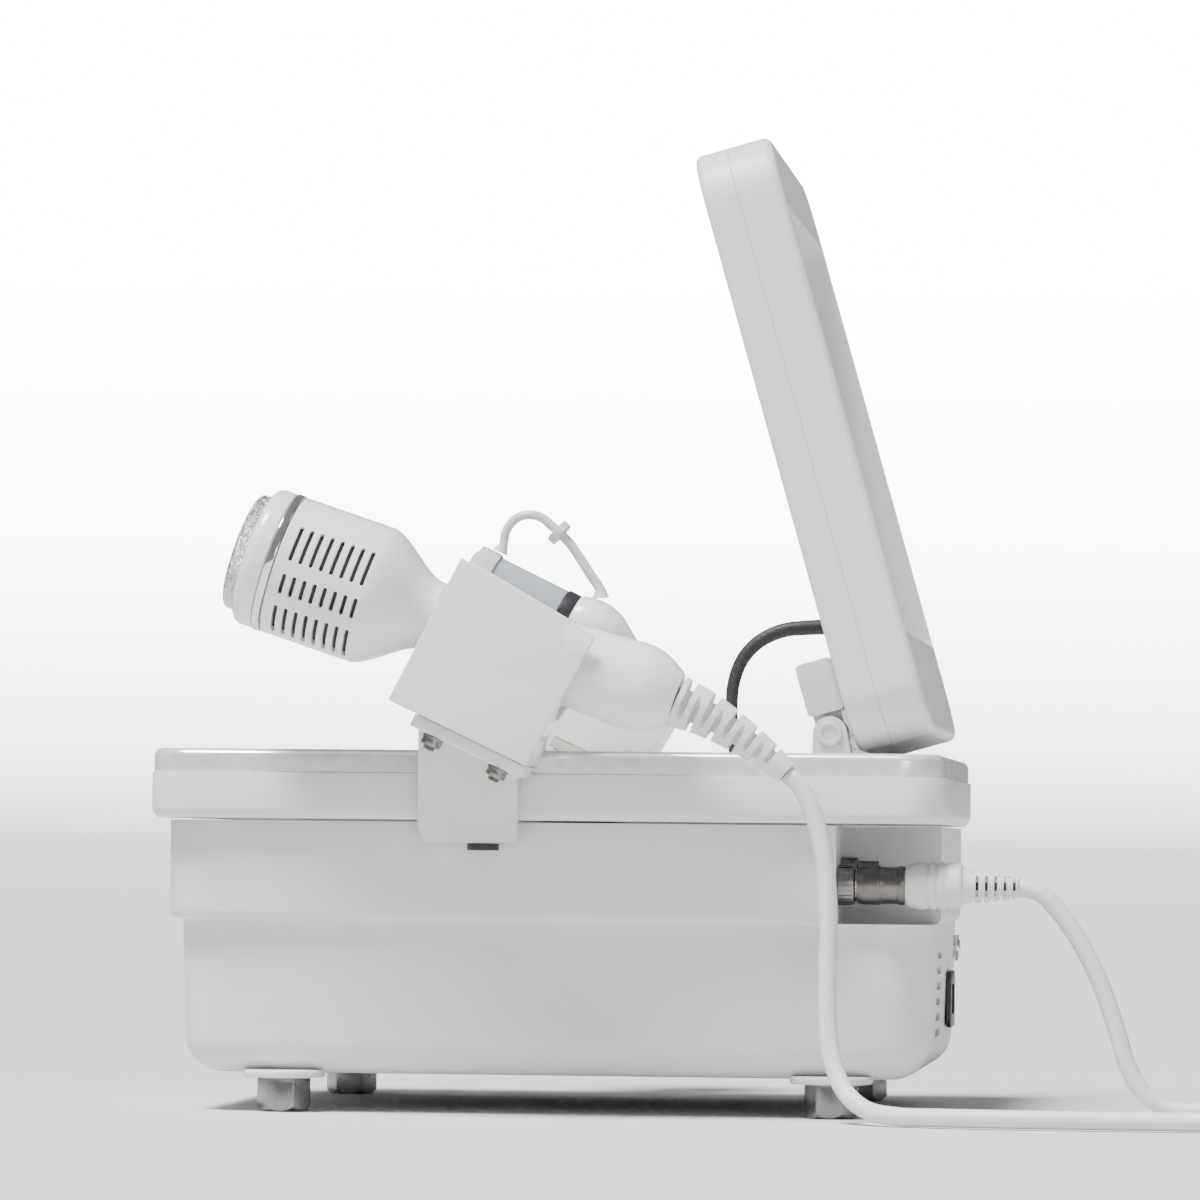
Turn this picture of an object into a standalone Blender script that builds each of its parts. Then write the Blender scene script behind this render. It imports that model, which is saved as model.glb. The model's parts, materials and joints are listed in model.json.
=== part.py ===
"""Ultrasound therapy device: a stepped case with a hinged display lid and two handpieces.

Metres, +Z up. +X points to the rear (the lid's hinge side), -Y to the side of handpiece A.
The origin is under the middle of the device, on the surface that it stands on.
"""
import math

import bmesh
import bpy
from mathutils import Matrix, Vector

for stale in list(bpy.data.objects):
    bpy.data.objects.remove(stale, do_unlink=True)

MM = 0.001
GAP = 0.3                      # clearance between touching pieces, in millimetres

# --- Driving dimensions, in millimetres -----------------------------------------------------
RIM_X, RIM_Y = 177.5, 140.0    # half sizes of the rim
RIM_Z = (129.0, 151.0)
TRIM_TOP = 161.3
DECK_TOP = 160.3
TIER2_X = (-170.6, 173.5)      # the rear wall is nearly flush, the front wall is set back
TIER2_Y = 131.5
TIER3_X = (-165.8, 171.5)
TIER3_Y = 125.0
TIER_STEP_Z = 85.0
CASE_BOTTOM = 17.0
WALL = 3.0
DRAFT = 1.8                    # how much each side of the lower tier narrows to its foot

NOTCH_X, NOTCH_Y = 129.3, -80.0
SOCKET_A = (-117.0, 103.3)     # y, z of the panel sockets' axes
SOCKET_B = (-93.0, 107.0)
FOOT_X, FOOT_Y = (-118.0, 127.0), 112.0
FOOT_R = 12.0                  # to the corners of the hexagon

PIN = (125.3, 170.4)           # x, z of the lid's hinge axis
LID_LEAN = 16.0
LID_U = (-11.5, 265.5)         # along the lid from the hinge axis
LID_W = (9.6, 45.1)            # through its thickness
LID_SEAM = 24.9
LID_Y = 125.0
LID_R = 27.0
LID_RECESS = ((34.0, 232.0), 119.0, 10.5)
HINGE_Y = 110.0

HOLD_A_Y, HOLD_B_Y = -164.5, 172.1
CRADLE_TILT = 25.2
CRADLE_A = (-63.1, 182.3)      # x, z of the cradle's lower front corner
CRADLE_B = (-45.5, 182.3)
CRADLE_WIDTH, CRADLE_WALL, CRADLE_LENGTH = 47.0, 3.0, 66.9
BOLT_Y = 16.0                  # of the plate bolts, towards the near side

HEAD_FRONT = (-131.9, 248.5)   # x, z of the middle of handpiece A's nose
HEAD_TILT = 18.67
HEAD_R, NECK_R, TAIL_R = 31.1, 15.6, 12.3
VENT_ROWS = ((-36.0, -4.6), (6.6, 24.0), (35.0, 70.0))   # degrees round the head, each row
VENT_START, VENT_PITCH, VENT_COUNT, VENT_WIDTH = 26.5, 4.75, 8, 1.9
TIP_B = (-70.3, 253.8)         # x, z of the front of handpiece B's clear tip
TIP_B_TILT = 26.2

CABLE_D = 8.0
COIL_CENTRE = (362.0, -165.0)
COIL_INNER_TURN, COIL_OUTER_TURN = 40.0, 48.5
COIL_HEIGHT = 17.0

# --- Collections and materials --------------------------------------------------------------


def new_collection(name):
    collection = bpy.data.collections.new(name)
    bpy.context.scene.collection.children.link(collection)
    return collection


PARTS = new_collection("ultrasound_therapy_device")
CUTTERS = new_collection("cutters")


def material(name, colour, roughness, metallic=0.0, alpha=1.0):
    made = bpy.data.materials.new(name)
    made.use_nodes = True
    shader = made.node_tree.nodes["Principled BSDF"]
    shader.inputs["Base Color"].default_value = (*colour, 1.0)
    shader.inputs["Roughness"].default_value = roughness
    shader.inputs["Metallic"].default_value = metallic
    shader.inputs["Alpha"].default_value = alpha
    made.diffuse_color = (*colour, alpha)
    return made


CASE_PLASTIC = ((0.80, 0.80, 0.81), 0.45)
GLOSS_PLASTIC = ((0.86, 0.85, 0.82), 0.12)
METAL = ((0.62, 0.62, 0.63), 0.25, 1.0)
CHROME = ((0.82, 0.82, 0.83), 0.08, 1.0)
BLACK = ((0.02, 0.02, 0.02), 0.5)
GREY = ((0.62, 0.62, 0.64), 0.5)
CORD_GREY = ((0.75, 0.75, 0.76), 0.45)
BOARD_GREEN = ((0.02, 0.18, 0.08), 0.5)
GLASS = ((0.05, 0.06, 0.07), 0.05, 0.0, 0.6)
CLEAR = ((0.70, 0.76, 0.80), 0.1, 0.0, 0.5)
SILICONE = ((0.80, 0.82, 0.83), 0.3, 0.0, 0.7)

# --- Building helpers (all take millimetres) ------------------------------------------------


def frame_empty(name, position, tilt_deg):
    """An empty that carries a tilted group: local X runs down to the rear by tilt_deg."""
    empty = bpy.data.objects.new(name, None)
    empty.location = [value * MM for value in position]
    empty.rotation_euler = (0.0, math.radians(tilt_deg), 0.0)
    PARTS.objects.link(empty)
    return empty


def add_object(name, mesh, look=None, parent=None, matrix=None):
    made = bpy.data.objects.new(name, mesh)
    if look is None:
        CUTTERS.objects.link(made)
        made.hide_render = True
        made.display_type = "WIRE"
    else:
        PARTS.objects.link(made)
        mesh.materials.append(material(name + "_finish", *look))
    made.parent = parent
    if matrix is not None:
        made.matrix_local = matrix
    return made


def finish_mesh(name, bm):
    mesh = bpy.data.meshes.new(name)
    bm.to_mesh(mesh)
    bm.free()
    return mesh


def edges_along(bm, axis, test=lambda middle: True):
    chosen = []
    for edge in bm.edges:
        run = edge.verts[1].co - edge.verts[0].co
        across = [abs(run[i]) for i in range(3) if i != axis]
        middle = (edge.verts[0].co + edge.verts[1].co) / 2
        if max(across) < 0.15 * abs(run[axis]) and test(middle):
            chosen.append(edge)
    return chosen


def bevel(bm, edges, radius, segments):
    bmesh.ops.bevel(bm, geom=edges, offset=radius * MM, segments=segments, profile=0.5,
                    affect="EDGES", clamp_overlap=True)


def block(name, low, high, look=None, parent=None, upright=(0.0, 1), axis=2, rim=None, draft=0.0):
    """A box from low to high; upright=(radius, segments) rounds its edges along the axis.

    rim=(radius, segments, side) also rounds the outline of its low (-1) or high (+1) end.
    """
    bm = bmesh.new()
    bmesh.ops.create_cube(bm, size=1.0)
    size = [(high[i] - low[i]) * MM for i in range(3)]
    middle = Vector([(high[i] + low[i]) / 2 * MM for i in range(3)])
    for vert in bm.verts:
        narrow = 2 * draft * MM if vert.co.z < 0 else 0.0
        vert.co = Vector((vert.co.x * (size[0] - narrow), vert.co.y * (size[1] - narrow),
                          vert.co.z * size[2])) + middle
    radius, segments = upright
    if radius:
        bevel(bm, edges_along(bm, axis), radius, segments)
    if rim:
        rim_radius, rim_segments, side = rim
        level = (high if side > 0 else low)[axis] * MM
        loop = [edge for edge in bm.edges
                if all(abs(vert.co[axis] - level) < 1e-6 for vert in edge.verts)]
        bevel(bm, loop, rim_radius, rim_segments)
    return add_object(name, finish_mesh(name, bm), look, parent)


def turned(name, profile, look=None, parent=None, matrix=None, steps=32, ring=False):
    """A profile of (radius, z) points, top to bottom on its outer side, turned about local Z."""
    points = [(radius * MM, 0.0, height * MM) for radius, height in profile]
    edges = [(i, i + 1) for i in range(len(points) - 1)]
    if ring:
        edges.append((len(points) - 1, 0))
    mesh = bpy.data.meshes.new(name)
    mesh.from_pydata(points, edges, [])
    made = add_object(name, mesh, look, parent, matrix)
    screw = made.modifiers.new("turn", "SCREW")
    screw.axis = "Z"
    screw.steps = screw.render_steps = steps
    screw.use_merge_vertices = True
    screw.merge_threshold = 0.00001
    screw.use_smooth_shade = True
    return made


def baked(source):
    """The evaluated mesh of a curve, as an object of its own with welded caps."""
    bpy.context.view_layer.update()
    evaluated = source.evaluated_get(bpy.context.evaluated_depsgraph_get())
    mesh = bpy.data.meshes.new_from_object(evaluated)
    bm = bmesh.new()
    bm.from_mesh(mesh)
    bmesh.ops.remove_doubles(bm, verts=bm.verts, dist=0.000002)
    bmesh.ops.recalc_face_normals(bm, faces=bm.faces)
    bm.to_mesh(mesh)
    bm.free()
    name, parent, matrix = source.name, source.parent, source.matrix_local.copy()
    bpy.data.objects.remove(source, do_unlink=True)
    mesh.materials.clear()
    return name, mesh, parent, matrix


def outline_solid(name, outline, y_low, y_high, look=None, parent=None):
    """A flat outline of (x, z) points, as thick as from y_low to y_high."""
    curve = bpy.data.curves.new(name, "CURVE")
    curve.dimensions = "2D"
    curve.fill_mode = "BOTH"
    curve.extrude = (y_high - y_low) / 2 * MM
    spline = curve.splines.new("POLY")
    spline.points.add(len(outline) - 1)
    for point, (x, z) in zip(spline.points, outline):
        point.co = (x * MM, z * MM, 0.0, 1.0)
    spline.use_cyclic_u = True
    source = bpy.data.objects.new(name, curve)
    PARTS.objects.link(source)
    _, mesh, _, _ = baked(source)
    stand = Matrix.Translation((0, (y_low + y_high) / 2 * MM, 0)) @ Matrix.Rotation(math.pi / 2, 4, "X")
    mesh.transform(stand)
    return add_object(name, mesh, look, parent)


def tube(name, points, radii, look, parent=None, resolution=3):
    """A tube through points, in millimetres; radii is one radius or one for each point."""
    curve = bpy.data.curves.new(name, "CURVE")
    curve.dimensions = "3D"
    curve.bevel_depth = MM
    curve.bevel_resolution = resolution
    curve.use_fill_caps = True
    spline = curve.splines.new("POLY")
    spline.points.add(len(points) - 1)
    if not isinstance(radii, (list, tuple)):
        radii = [radii] * len(points)
    for point, co, radius in zip(spline.points, points, radii):
        point.co = (*[value * MM for value in co], 1.0)
        point.radius = radius
    made = bpy.data.objects.new(name, curve)
    PARTS.objects.link(made)
    made.parent = parent
    curve.materials.append(material(name + "_finish", *look))
    return made


def smooth_path(anchors, spacing):
    """Points about spacing apart on a Catmull-Rom curve through the anchors."""
    knots = [Vector(anchor) for anchor in anchors]
    knots = [2 * knots[0] - knots[1]] + knots + [2 * knots[-1] - knots[-2]]
    dense = []
    for a, b, c, d in zip(knots, knots[1:], knots[2:], knots[3:]):
        t1 = (b - a).length ** 0.5
        t2 = t1 + (c - b).length ** 0.5
        t3 = t2 + (d - c).length ** 0.5
        for step in range(16):
            t = t1 + (t2 - t1) * step / 16
            a1 = a * (t1 - t) / t1 + b * t / t1
            a2 = b * (t2 - t) / (t2 - t1) + c * (t - t1) / (t2 - t1)
            a3 = c * (t3 - t) / (t3 - t2) + d * (t - t2) / (t3 - t2)
            b1 = a1 * (t2 - t) / t2 + a2 * t / t2
            b2 = a2 * (t3 - t) / (t3 - t1) + a3 * (t - t1) / (t3 - t1)
            dense.append(b1 * (t2 - t) / (t2 - t1) + b2 * (t - t1) / (t2 - t1))
    dense.append(knots[-2])
    run = [0.0]
    for near, far in zip(dense, dense[1:]):
        run.append(run[-1] + (far - near).length)
    count = max(2, round(run[-1] / spacing))
    path, index = [], 0
    for step in range(count + 1):
        target = run[-1] * step / count
        while index < len(run) - 2 and run[index + 1] < target:
            index += 1
        share = (target - run[index]) / (run[index + 1] - run[index])
        path.append(dense[index].lerp(dense[index + 1], share))
    return path


def boolean(target, tool, operation="DIFFERENCE"):
    modifier = target.modifiers.new(tool.name, "BOOLEAN")
    modifier.operation = operation
    modifier.object = tool
    modifier.solver = "EXACT"


def along_x(x, y, z):
    """Turns local Z to +X, at a point in millimetres."""
    return Matrix.Translation((x * MM, y * MM, z * MM)) @ Matrix.Rotation(math.pi / 2, 4, "Y")


def along_y(x, y, z):
    """Turns local Z to -Y, at a point in millimetres."""
    return Matrix.Translation((x * MM, y * MM, z * MM)) @ Matrix.Rotation(math.pi / 2, 4, "X")


def disc(radius, top, bottom):
    return [(0, top), (radius, top), (radius, bottom), (0, bottom)]


def ring(outer, inner, top, bottom):
    return [(outer, top), (outer, bottom), (inner, bottom), (inner, top)]


# --- Case -----------------------------------------------------------------------------------


def make_case():
    low3 = (TIER3_X[0], -TIER3_Y, CASE_BOTTOM)
    housing = block("lower_housing", low3, (TIER3_X[1], TIER3_Y, TIER_STEP_Z + 1.0), CASE_PLASTIC,
                    upright=(24, 5), rim=(16, 4, -1), draft=DRAFT)
    tier2 = block("tier2_cut", (TIER2_X[0], -TIER2_Y, TIER_STEP_Z),
                  (TIER2_X[1], TIER2_Y, RIM_Z[0] - GAP), upright=(22, 5), rim=(4.0, 2, -1))
    boolean(housing, tier2, "UNION")
    notch = block("notch_cut", (NOTCH_X, -TIER2_Y - 9, TIER_STEP_Z + 1.0),
                  (TIER2_X[1] + 9, NOTCH_Y, RIM_Z[0] + 9))
    boolean(housing, notch)
    hollow = block("hollow_cut", (TIER3_X[0] + WALL, -TIER3_Y + WALL, CASE_BOTTOM + WALL),
                   (TIER3_X[1] - WALL, TIER3_Y - WALL, TIER_STEP_Z + 0.5),
                   upright=(21, 5), rim=(13, 3, -1), draft=DRAFT)
    hollow2 = block("hollow2_cut", (TIER3_X[0] + WALL, -TIER3_Y + WALL, TIER_STEP_Z),
                    (TIER3_X[1] - WALL, TIER3_Y - WALL, RIM_Z[0] + 9), upright=(21, 5))
    boolean(hollow, hollow2, "UNION")
    notch_wall = block("notch_wall_cut", (NOTCH_X - WALL, -TIER2_Y - 9, TIER_STEP_Z + 1.0 - WALL),
                 (TIER2_X[1] + 9, NOTCH_Y + WALL, RIM_Z[0] + 19))
    boolean(hollow, notch_wall)
    boolean(housing, hollow)
    return housing


def make_rim():
    cover = block("top_cover", (-RIM_X, -RIM_Y, RIM_Z[0]), (RIM_X, RIM_Y, RIM_Z[1]), CASE_PLASTIC,
                  upright=(20, 6), rim=(5.0, 2, -1))
    inside = block("cover_cut", (-RIM_X + WALL, -RIM_Y + WALL, RIM_Z[0] - 9),
                   (RIM_X - WALL, RIM_Y - WALL, RIM_Z[1] - WALL), upright=(17, 6))
    ledge = block("cover_ledge_cut", (-RIM_X + 30, -RIM_Y + 30, RIM_Z[0] - 19),
                  (RIM_X - 30, RIM_Y - 30, RIM_Z[1] + 9))
    boolean(cover, inside)
    boolean(cover, ledge)
    trim = block("trim_band", (-RIM_X + 1.5, -RIM_Y + 1.5, RIM_Z[1] + GAP),
                 (RIM_X - 1.5, RIM_Y - 1.5, TRIM_TOP), CHROME, upright=(19, 6), rim=(3.0, 3, 1))
    inner = block("trim_cut", (-RIM_X + 13, -RIM_Y + 13, RIM_Z[1] - 9),
                  (RIM_X - 13, RIM_Y - 13, TRIM_TOP + 9), upright=(9, 4))
    boolean(trim, inner)
    deck = block("deck_panel", (-RIM_X + 13 + GAP, -RIM_Y + 13 + GAP, RIM_Z[1] + GAP),
                 (RIM_X - 13 - GAP, RIM_Y - 13 - GAP, DECK_TOP), CASE_PLASTIC,
                 upright=(9 - GAP, 4))
    grommet = turned("grommet_cut", disc(4.0, 3.0, -3.0),
                     matrix=Matrix.Translation((74.0 * MM, 0, (DECK_TOP + 1) * MM)), steps=16)
    boolean(deck, grommet)


def make_feet():
    number = 1
    for x in FOOT_X:
        for y in (-FOOT_Y, FOOT_Y):
            foot = turned(f"foot_{number}", disc(FOOT_R, 15.6, 0.0), METAL,
                          matrix=Matrix.Translation((x * MM, y * MM, 0)), steps=6)
            flange = turned(f"foot_flange_cut_{number}", disc(18.5, CASE_BOTTOM - GAP, 15.2),
                            matrix=Matrix.Translation((x * MM, y * MM, 0)), steps=24)
            boolean(foot, flange, "UNION")
            number += 1


# --- Rear face: inlet, button, fan ----------------------------------------------------------
REAR = TIER3_X[1]
FAN = (-40.0, 54.0)            # y, z of the fan's axis
FAN_X = (146.0, 161.4)
BUTTON = (95.0, 73.0)
INLET = (45.0, 50.0)


def rear_face_x(z):
    """The draft of the lower tier's rear wall."""
    share = (z - CASE_BOTTOM) / (TIER_STEP_Z + 1.0 - CASE_BOTTOM)
    return REAR - DRAFT * (1.0 - share)


def make_rear(housing):
    for row in range(6):
        z = FAN[1] - 17.5 + 7.0 * row
        slot = block(f"vent_cut_{row + 1}", (REAR - 9, FAN[0] - 19, z - 1.6), (REAR + 9, FAN[0] + 19, z + 1.6))
        boolean(housing, slot)
    bore = turned("button_bore_cut", disc(5.0, 12.0, -12.0), matrix=along_x(REAR, *BUTTON), steps=24)
    boolean(housing, bore)
    window = block("inlet_window_cut", (REAR - 12, INLET[0] - 13.8, INLET[1] - 10),
                   (REAR + 12, INLET[0] + 13.8, INLET[1] + 10))
    boolean(housing, window)
    face = rear_face_x(BUTTON[1] + 7)
    turned("power_button_ring", ring(6.2, 4.6, 2.2, GAP), CHROME, matrix=along_x(face, *BUTTON), steps=32,
           ring=True)
    turned("power_button", [(0, 2.9), (3.4, 2.8), (4.2, 2.2), (4.2, -7.5), (0, -7.5)], CHROME,
           matrix=along_x(face, *BUTTON), steps=24)
    inlet = block("mains_inlet", (REAR - 22, INLET[0] - 13.4, INLET[1] - 9.6),
                  (rear_face_x(INLET[1]) + 1.0, INLET[0] + 13.4, INLET[1] + 9.6), BLACK)
    flange = block("inlet_flange_cut", (rear_face_x(INLET[1] + 14) + GAP, INLET[0] - 20, INLET[1] - 13),
                   (rear_face_x(INLET[1] + 14) + 2.4, INLET[0] + 20, INLET[1] + 13), upright=(4, 3), axis=0)
    boolean(inlet, flange, "UNION")
    socket = block("inlet_socket_cut", (REAR - 14, INLET[0] - 11, INLET[1] - 7), (REAR + 20, INLET[0] + 11,
                   INLET[1] + 7), upright=(3, 2), axis=0)
    boolean(inlet, socket)


def make_fan():
    frame = block("fan_frame", (FAN_X[0], FAN[0] - 25, FAN[1] - 25), (FAN_X[1], FAN[0] + 25, FAN[1] + 25),
                  BLACK, upright=(3, 2), axis=0)
    bore = turned("fan_bore_cut", ring(23.5, 11.5, 30.0, -30.0),
                  matrix=along_x((FAN_X[0] + FAN_X[1]) / 2, *FAN), steps=32, ring=True)
    boolean(frame, bore)
    spokes = block("fan_spoke_cut", (FAN_X[0], FAN[0] - 24.5, FAN[1] - 1.5),
                   (FAN_X[0] + 2, FAN[0] + 24.5, FAN[1] + 1.5))
    pocket = turned("fan_pocket_cut", disc(14.0, 30.0, -5.5),
                    matrix=along_x((FAN_X[0] + FAN_X[1]) / 2, *FAN), steps=32)
    boolean(frame, pocket)
    boolean(frame, spokes, "UNION")
    axis = along_x((FAN_X[0] + FAN_X[1]) / 2, *FAN)
    hub = turned("fan_rotor", disc(10.5, 6.4, -4.5), BLACK, matrix=axis, steps=28)
    for blade_number in range(7):
        name = f"fan_blade_cut_{blade_number + 1}"
        blade = block(name, (9.5, -0.8, -4.0), (22.4, 0.8, 6.0))
        turn = Matrix.Rotation(2 * math.pi * blade_number / 7, 4, "Z")
        pitch = Matrix.Rotation(math.radians(32), 4, "X")
        blade.matrix_local = axis @ turn @ pitch
        boolean(hub, blade, "UNION")


def make_internals():
    floor = CASE_BOTTOM + WALL + GAP
    block("power_supply", (-138, -62, floor), (-28, 62, floor + 40), METAL, upright=(2, 1))
    board = block("generator_board", (-8, -88, floor + 6), (118, 88, floor + 7.6), BOARD_GREEN)
    for x in (0.0, 110.0):
        for y in (-80.0, 80.0):
            leg = turned(f"standoff_cut_{x:.0f}_{y:.0f}", disc(3.0, 0.5, -6.0),
                         matrix=Matrix.Translation((x * MM, y * MM, (floor + 6) * MM)), steps=12)
            boolean(board, leg, "UNION")
    sink = block("heat_sink", (18, -34, floor + 7.9), (84, 34, floor + 12), METAL)
    for fin in range(7):
        y = -33.0 + fin * 10.75
        wall = block(f"fin_cut_{fin + 1}", (18, y, floor + 11), (84, y + 1.6, floor + 32))
        boolean(sink, wall, "UNION")


# --- Connectors -----------------------------------------------------------------------------


def make_connectors():
    for name, (y, z) in (("socket_a", SOCKET_A), ("socket_b", SOCKET_B)):
        socket = turned(name, [(0, 17.0), (7.2, 17.0), (7.2, 8.0), (8.9, 7.6), (8.9, GAP), (0, GAP)], METAL,
                        matrix=along_x(NOTCH_X, y, z), steps=28)
        if name == "socket_b":
            mouth = turned("socket_mouth_cut", disc(5.6, 30.0, 9.0), matrix=along_x(NOTCH_X, y, z), steps=24)
            boolean(socket, mouth)
    y, z = SOCKET_A
    turned("plug_a_collar", ring(8.4, 7.5, 30.0, 9.0), METAL, matrix=along_x(NOTCH_X, y, z), steps=28, ring=True)
    turned("plug_a_body", [(0, 80.5), (4.9, 80.5), (6.6, 57.0), (10.4, 55.0), (10.4, 36.0), (8.6, 30.3),
                           (6.9, 30.3), (6.9, 17.3), (0, 17.3)], CORD_GREY,
           matrix=along_x(NOTCH_X, y, z), steps=24)


# --- Lid ------------------------------------------------------------------------------------


def make_hinges(lid):
    for side, name in ((-1, "near"), (1, "far")):
        outer, split, inner = HINGE_Y + 6, HINGE_Y - 6, HINGE_Y - 20
        spans = [sorted((side * a, side * b)) for a, b in ((outer, split), (split - 0.4, inner), (outer, inner))]
        arc = [(PIN[0] + 7.6 * math.cos(math.radians(a)), PIN[1] + 7.6 * math.sin(math.radians(a)))
               for a in range(0, 181, 20)]
        outline = [(135.0, DECK_TOP + GAP)] + arc + [(117.4, DECK_TOP + GAP)]
        base = outline_solid(f"hinge_block_{name}", outline, *spans[0], METAL)
        leaf = block(f"hinge_leaf_{name}", (-7.3, spans[2][0], 9.2), (LID_W[0] - GAP, spans[2][1], 33.0), METAL,
                     lid, upright=(2.0, 2), axis=1)
        knuckle = turned(f"knuckle_cut_{name}", disc(7.4, spans[1][1], spans[1][0]), parent=lid,
                         matrix=Matrix.Rotation(-math.pi / 2, 4, "X"), steps=24)
        web = block(f"hinge_web_cut_{name}", (-6.0, spans[1][0], 2.0), (6.0, spans[1][1], 10.5), parent=lid)
        boolean(leaf, knuckle, "UNION")
        boolean(leaf, web, "UNION")
        bore = turned(f"pin_bore_cut_{name}", disc(4.3, 160.0, -160.0), parent=lid,
                      matrix=Matrix.Rotation(-math.pi / 2, 4, "X"), steps=20)
        boolean(leaf, bore)
        boolean(base, bore)
        head, tip = outer + GAP, inner + 0.5
        turned(f"hinge_pin_{name}", [(0, head + 1.6), (5.0, head + 1.6), (5.6, head + 1.0), (5.6, head),
                                     (4.0, head), (4.0, tip), (0, tip)], METAL,
               matrix=along_y(PIN[0], 0, PIN[1]) @ Matrix.Rotation(0 if side < 0 else math.pi, 4, "X"),
               steps=20)


def make_lid(lid):
    (u_low, u_high), (w_low, w_high) = LID_U, LID_W
    corner = (LID_R, 6)
    bezel = block("lid_front_bezel", (w_low, -LID_Y, u_low), (LID_SEAM - GAP / 2, LID_Y, u_high), CASE_PLASTIC,
                  lid, upright=corner, axis=0, rim=(1.5, 2, -1))
    pocket = block("bezel_pocket_cut", (w_low + 4.0, -LID_Y + WALL, u_low + WALL),
                   (LID_SEAM + 9, LID_Y - WALL, u_high - WALL), parent=lid, upright=(LID_R - WALL, 6), axis=0)
    window = block("bezel_window_cut", (w_low - 9, -101, 44), (w_low + 9, 101, 232), parent=lid)
    boolean(bezel, pocket)
    boolean(bezel, window)
    back = block("lid_back_shell", (LID_SEAM + GAP / 2, -LID_Y, u_low), (w_high, LID_Y, u_high), CASE_PLASTIC,
                 lid, upright=corner, axis=0, rim=(3.0, 3, 1))
    (r_low, r_high), r_y, depth = LID_RECESS
    recess = block("back_recess_cut", (w_high - depth, -r_y, r_low), (w_high + 9, r_y, r_high), parent=lid,
                   upright=(6, 3), axis=0)
    room = block("back_room_cut", (LID_SEAM - 9, -LID_Y + WALL, u_low + WALL),
                 (w_high - depth - WALL, LID_Y - WALL, u_high - WALL), parent=lid,
                 upright=(LID_R - WALL, 6), axis=0)
    boolean(back, recess)
    boolean(back, room)
    block("screen_glass", (w_low + 0.4, -100.6, 44.4), (w_low + 3.7, 100.6, 231.6), GLASS, lid)
    block("display_panel", (w_low + 4.3, -105, 40), (LID_SEAM - 2, 105, 236), METAL, lid)


def make_display_cable():
    rises = [(74.0, 0, DECK_TOP - 0.9), (73.0, 0, 170.0), (72.2, 0, 184.7), (73.2, 0, 196.0), (77.4, 0, 206.8),
             (85.0, 0, 214.8), (96.0, 0, 219.8), (109.0, 0, 221.2), (119.6, 0, 221.6)]
    path = smooth_path(rises, 7.0)
    radii = [2.5 + 1.1 * i / (len(path) - 1) for i in range(len(path))]
    tube("display_cable", path, radii, BLACK, resolution=2)


# --- Holders --------------------------------------------------------------------------------


def make_holder(tag, corner, y, rear_height, front_height, seat_height):
    frame = frame_empty(f"holder_{tag}_frame", (corner[0], y, corner[1]), CRADLE_TILT)
    half, length = CRADLE_WIDTH / 2, CRADLE_LENGTH
    outline = [(0, 0), (length, 0), (length + 3.5, rear_height), (2.0, front_height)]
    cradle = outline_solid(f"cradle_{tag}", outline, -half, half, GLOSS_PLASTIC, frame)
    inner = half - CRADLE_WALL
    seat = seat_height + inner
    round_cut = turned(f"cradle_round_cut_{tag}", disc(inner, 100.0, -100.0), parent=frame,
                       matrix=along_x(length / 2, 0, seat), steps=28)
    open_cut = block(f"cradle_open_cut_{tag}", (-30, -inner + 0.01, seat), (length + 30, inner - 0.01, 120),
                     parent=frame)
    boolean(cradle, round_cut)
    boolean(cradle, open_cut)
    block(f"cradle_plate_{tag}", (13, -half + 3.5, -6.0), (length, half - 1.0, -GAP), GLOSS_PLASTIC, frame)
    return frame


def make_plate_bolts(frame):
    for number, along in ((1, 24.5), (2, 56.0)):
        turned(f"cradle_bolt_a{number}", [(0, -6.3), (4.6, -6.3), (4.6, -9.0), (3.4, -9.4), (3.4, -12.5),
                                          (0, -12.5)], METAL, frame,
               Matrix.Translation((along * MM, -BOLT_Y * MM, 0)), steps=12)


def make_clamp(tag, corner, y, frame):
    """The bracket that hangs the holder on the rim: leg outside, hook over it, lip under it."""
    side = 1 if y > 0 else -1
    x_low, x_high = corner[0] + 8.8, corner[0] + 52.8
    reach = abs(y) - 14.5

    def span(a, b):
        return sorted((side * a, side * b))

    def slab(name, xs, ys, zs, look=None):
        return block(name, (xs[0], ys[0], zs[0]), (xs[1], ys[1], zs[1]), look)

    bracket = slab(f"clamp_bracket_{tag}", (x_low, x_high), span(RIM_Y + GAP, reach), (120.5, 178.0),
                    CASE_PLASTIC)
    slope = block(f"clamp_slope_cut_{tag}", (-60, -60, -6.0 - GAP), (160, 60, 120), parent=frame)
    boolean(bracket, slope)
    lip = slab(f"clamp_lip_cut_{tag}", (x_low, x_high), span(RIM_Y - 6.5, RIM_Y + 3), (120.5, RIM_Z[0] - GAP))
    hook = slab(f"clamp_hook_cut_{tag}", (x_low, x_low + 10.0), span(RIM_Y - 20, RIM_Y + 2),
                 (TRIM_TOP + GAP, TRIM_TOP + 4.2))
    boolean(bracket, lip, "UNION")
    boolean(bracket, hook, "UNION")
    turned(f"clamp_screw_{tag}", disc(7.2, 120.2, 117.0), BLACK,
           matrix=Matrix.Translation(((x_low + 28.5) * MM, side * (RIM_Y + 3.5) * MM, 0)), steps=20)


# --- Handpiece A ----------------------------------------------------------------------------


def head_radius(s):
    """Outer radius of the head and neck, s behind the nose."""
    if s < 62.0:
        return HEAD_R
    share = min(1.0, (s - 62.0) / 27.0)
    return HEAD_R + (NECK_R - HEAD_R) * (0.35 * share + 0.65 * share * share * (3 - 2 * share))


def handle_radius(s):
    """Outer radius of the handle: a long swell, then a quick taper at the tail."""
    if s < 186.0:
        share = (s - 92.0) / 94.0
        return NECK_R + (19.7 - NECK_R) * share ** 0.9
    share = (s - 186.0) / 17.6
    return 19.7 - (19.7 - TAIL_R) * share ** 1.8


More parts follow.
